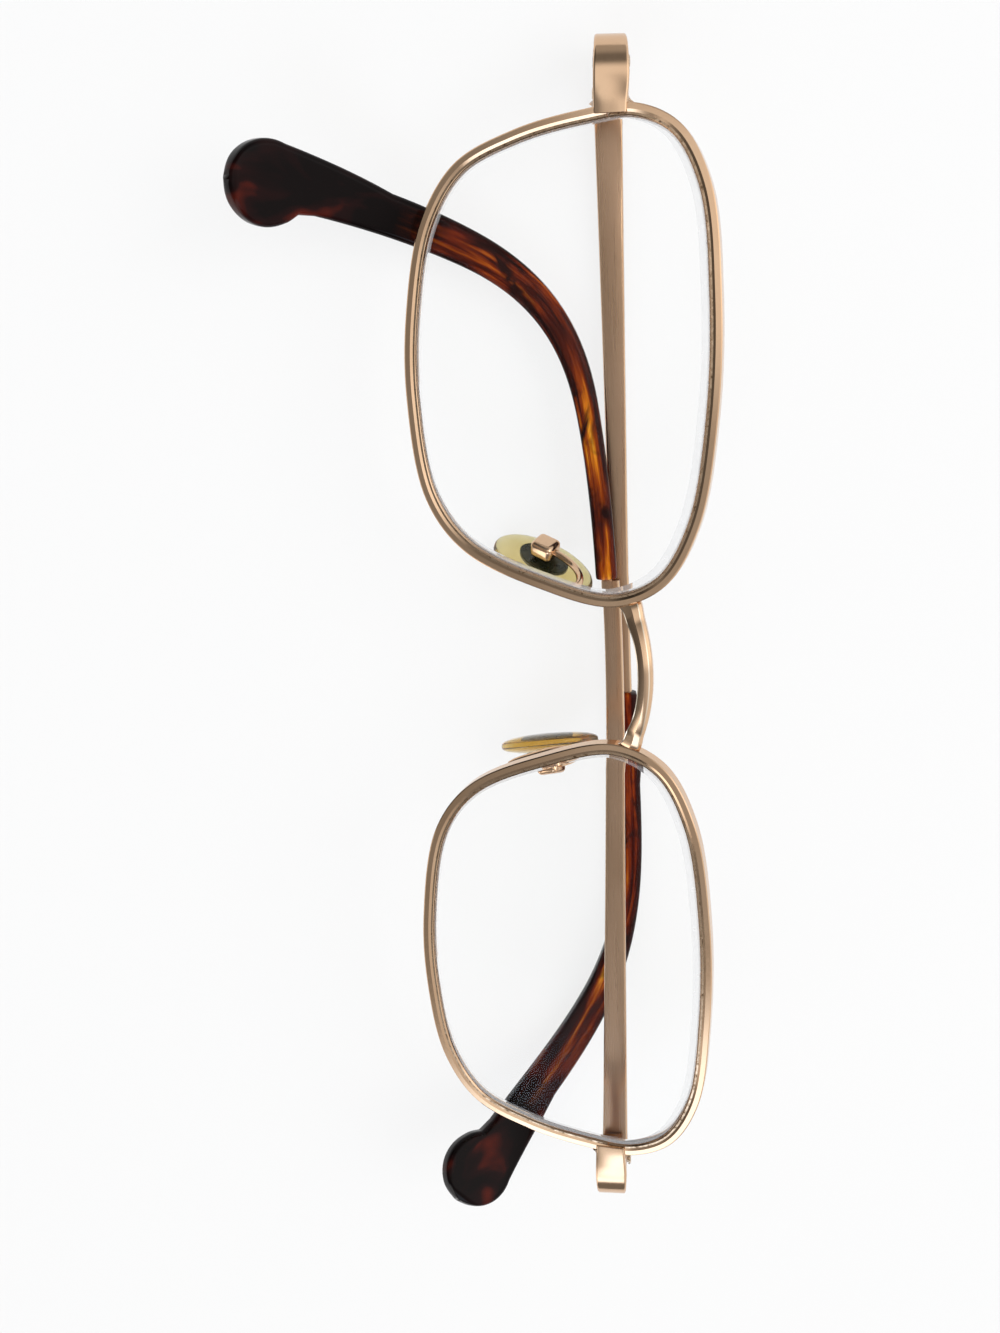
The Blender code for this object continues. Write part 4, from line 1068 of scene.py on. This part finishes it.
def make_world():
    """Grey studio with soft panels and dark flags that the metal mirrors, over a white ground."""
    world = bpy.data.worlds.new("studio")
    bpy.context.scene.world = world
    world.use_nodes = True
    tree = world.node_tree
    background = tree.nodes["Background"]
    output = tree.nodes["World Output"]
    direction = tree.nodes.new("ShaderNodeTexCoord").outputs["Generated"]

    def smooth(value, start, end, low, high):
        node = tree.nodes.new("ShaderNodeMapRange")
        node.interpolation_type = "SMOOTHSTEP"
        for key, number in (("From Min", start), ("From Max", end), ("To Min", low), ("To Max", high)):
            node.inputs[key].default_value = number
        tree.links.new(value, node.inputs["Value"])
        return node.outputs["Result"]

    def combine(operation, first, second):
        node = tree.nodes.new("ShaderNodeMath")
        node.operation = operation
        for socket, value in zip(node.inputs, (first, second)):
            if isinstance(value, float):
                socket.default_value = value
            else:
                tree.links.new(value, socket)
        return node.outputs[0]

    level = STUDIO_LEVEL
    split = tree.nodes.new("ShaderNodeSeparateXYZ")
    tree.links.new(direction, split.inputs["Vector"])
    for strength, limits in STUDIO_PANELS:
        panel = strength
        for axis, start, end in limits:
            panel = combine("MULTIPLY", panel, smooth(split.outputs[axis], start, end, 0.0, 1.0))
        level = combine("ADD", level, panel)
    window = 1.0
    for axis, start, end in WINDOW_LIMITS:
        window = combine("MULTIPLY", window, smooth(split.outputs[axis], start, end, 0.0, 1.0))
    level = combine("ADD", level, combine("MULTIPLY", window, WINDOW_LEVEL))
    tint = tree.nodes.new("ShaderNodeMix")
    tint.data_type = "RGBA"
    tint.inputs[6].default_value = (*STUDIO_COLOUR, 1.0)
    tint.inputs[7].default_value = (*WINDOW_COLOUR, 1.0)
    tree.links.new(window, tint.inputs[0])
    tree.links.new(tint.outputs[2], background.inputs["Color"])
    tree.links.new(level, background.inputs["Strength"])
    white = tree.nodes.new("ShaderNodeBackground")
    white.inputs["Color"].default_value = (1.0, 1.0, 1.0, 1.0)
    mix = tree.nodes.new("ShaderNodeMixShader")
    path = tree.nodes.new("ShaderNodeLightPath")
    seen = combine("MAXIMUM", path.outputs["Is Glossy Ray"], path.outputs["Is Transmission Ray"])
    below = combine("LESS_THAN", split.outputs["Z"], 0.0)
    ground = combine("MAXIMUM", path.outputs["Is Camera Ray"], combine("MULTIPLY", seen, below))
    tree.links.new(ground, mix.inputs["Fac"])
    tree.links.new(background.outputs["Background"], mix.inputs[1])
    tree.links.new(white.outputs["Background"], mix.inputs[2])
    tree.links.new(mix.outputs["Shader"], output.inputs["Surface"])


def make_key_lamp():
    """Soft lamp aimed at the origin, which the metal doesn't mirror."""
    light = bpy.data.lights.new("key_softbox", "AREA")
    light.shape = "RECTANGLE"
    light.size, light.size_y = KEY_SIZE
    light.energy = KEY_POWER
    light.color = KEY_COLOUR
    lamp = bpy.data.objects.new("key_softbox", light)
    lamp.location = KEY_PLACE
    lamp.visible_glossy = False
    lamp.rotation_euler = (-Vector(KEY_PLACE)).to_track_quat("-Z", "Y").to_euler()
    bpy.context.scene.collection.objects.link(lamp)


def make_camera():
    """Camera of the photograph, placed by its fitted turn and shift."""
    turn = Vector([math.radians(angle) for angle in CAMERA_TURN])
    look = Matrix.Rotation(turn.length, 3, turn.normalized()) @ Matrix(((0, 1, 0), (1, 0, 0), (0, 0, -1)))
    place = -(look.transposed() @ Vector(CAMERA_SHIFT))
    axes = (look.transposed() @ Vector((1, 0, 0)), look.transposed() @ Vector((0, -1, 0)),
            look.transposed() @ Vector((0, 0, -1)))
    to_world = FRONT.to_3x3() * (1 / MM)
    columns = [to_world @ axis for axis in axes]
    matrix = Matrix(((*(c[0] for c in columns), 0), (*(c[1] for c in columns), 0),
                     (*(c[2] for c in columns), 0), (0, 0, 0, 1)))
    camera = bpy.data.cameras.new("camera")
    camera.sensor_fit = "VERTICAL"
    camera.sensor_width = SENSOR
    camera.sensor_height = SENSOR
    camera.lens = SENSOR * FOCAL_PIXELS / IMAGE_HEIGHT
    camera.clip_start = 0.01
    camera.clip_end = 10.0
    holder = bpy.data.objects.new("camera", camera)
    holder.matrix_world = Matrix.Translation(FRONT @ place) @ matrix
    bpy.context.scene.collection.objects.link(holder)
    bpy.context.scene.camera = holder


def recolour(piece, material):
    piece.data.materials.clear()
    piece.data.materials.append(material)


make_camera()
for name in SIDES:
    make_rim(name)
    make_lens(name)
    make_endpiece(name)
    make_temple(name)
    make_tip(name)
    make_pad(name)
    make_box(name)
    make_arm(name)
make_bridge()
for node, piece in frame["nodes"].items():
    if node.endswith(("screw", "pad_pin")):
        recolour(piece, SCREW)
    elif node.endswith("pad_insert"):
        recolour(piece, INSERT)
    elif node.endswith("hinge") or "rim_block" in node:
        recolour(piece, GOLD)
make_floor()
make_world()
make_key_lamp()
bpy.context.scene.view_settings.view_transform = "Standard"
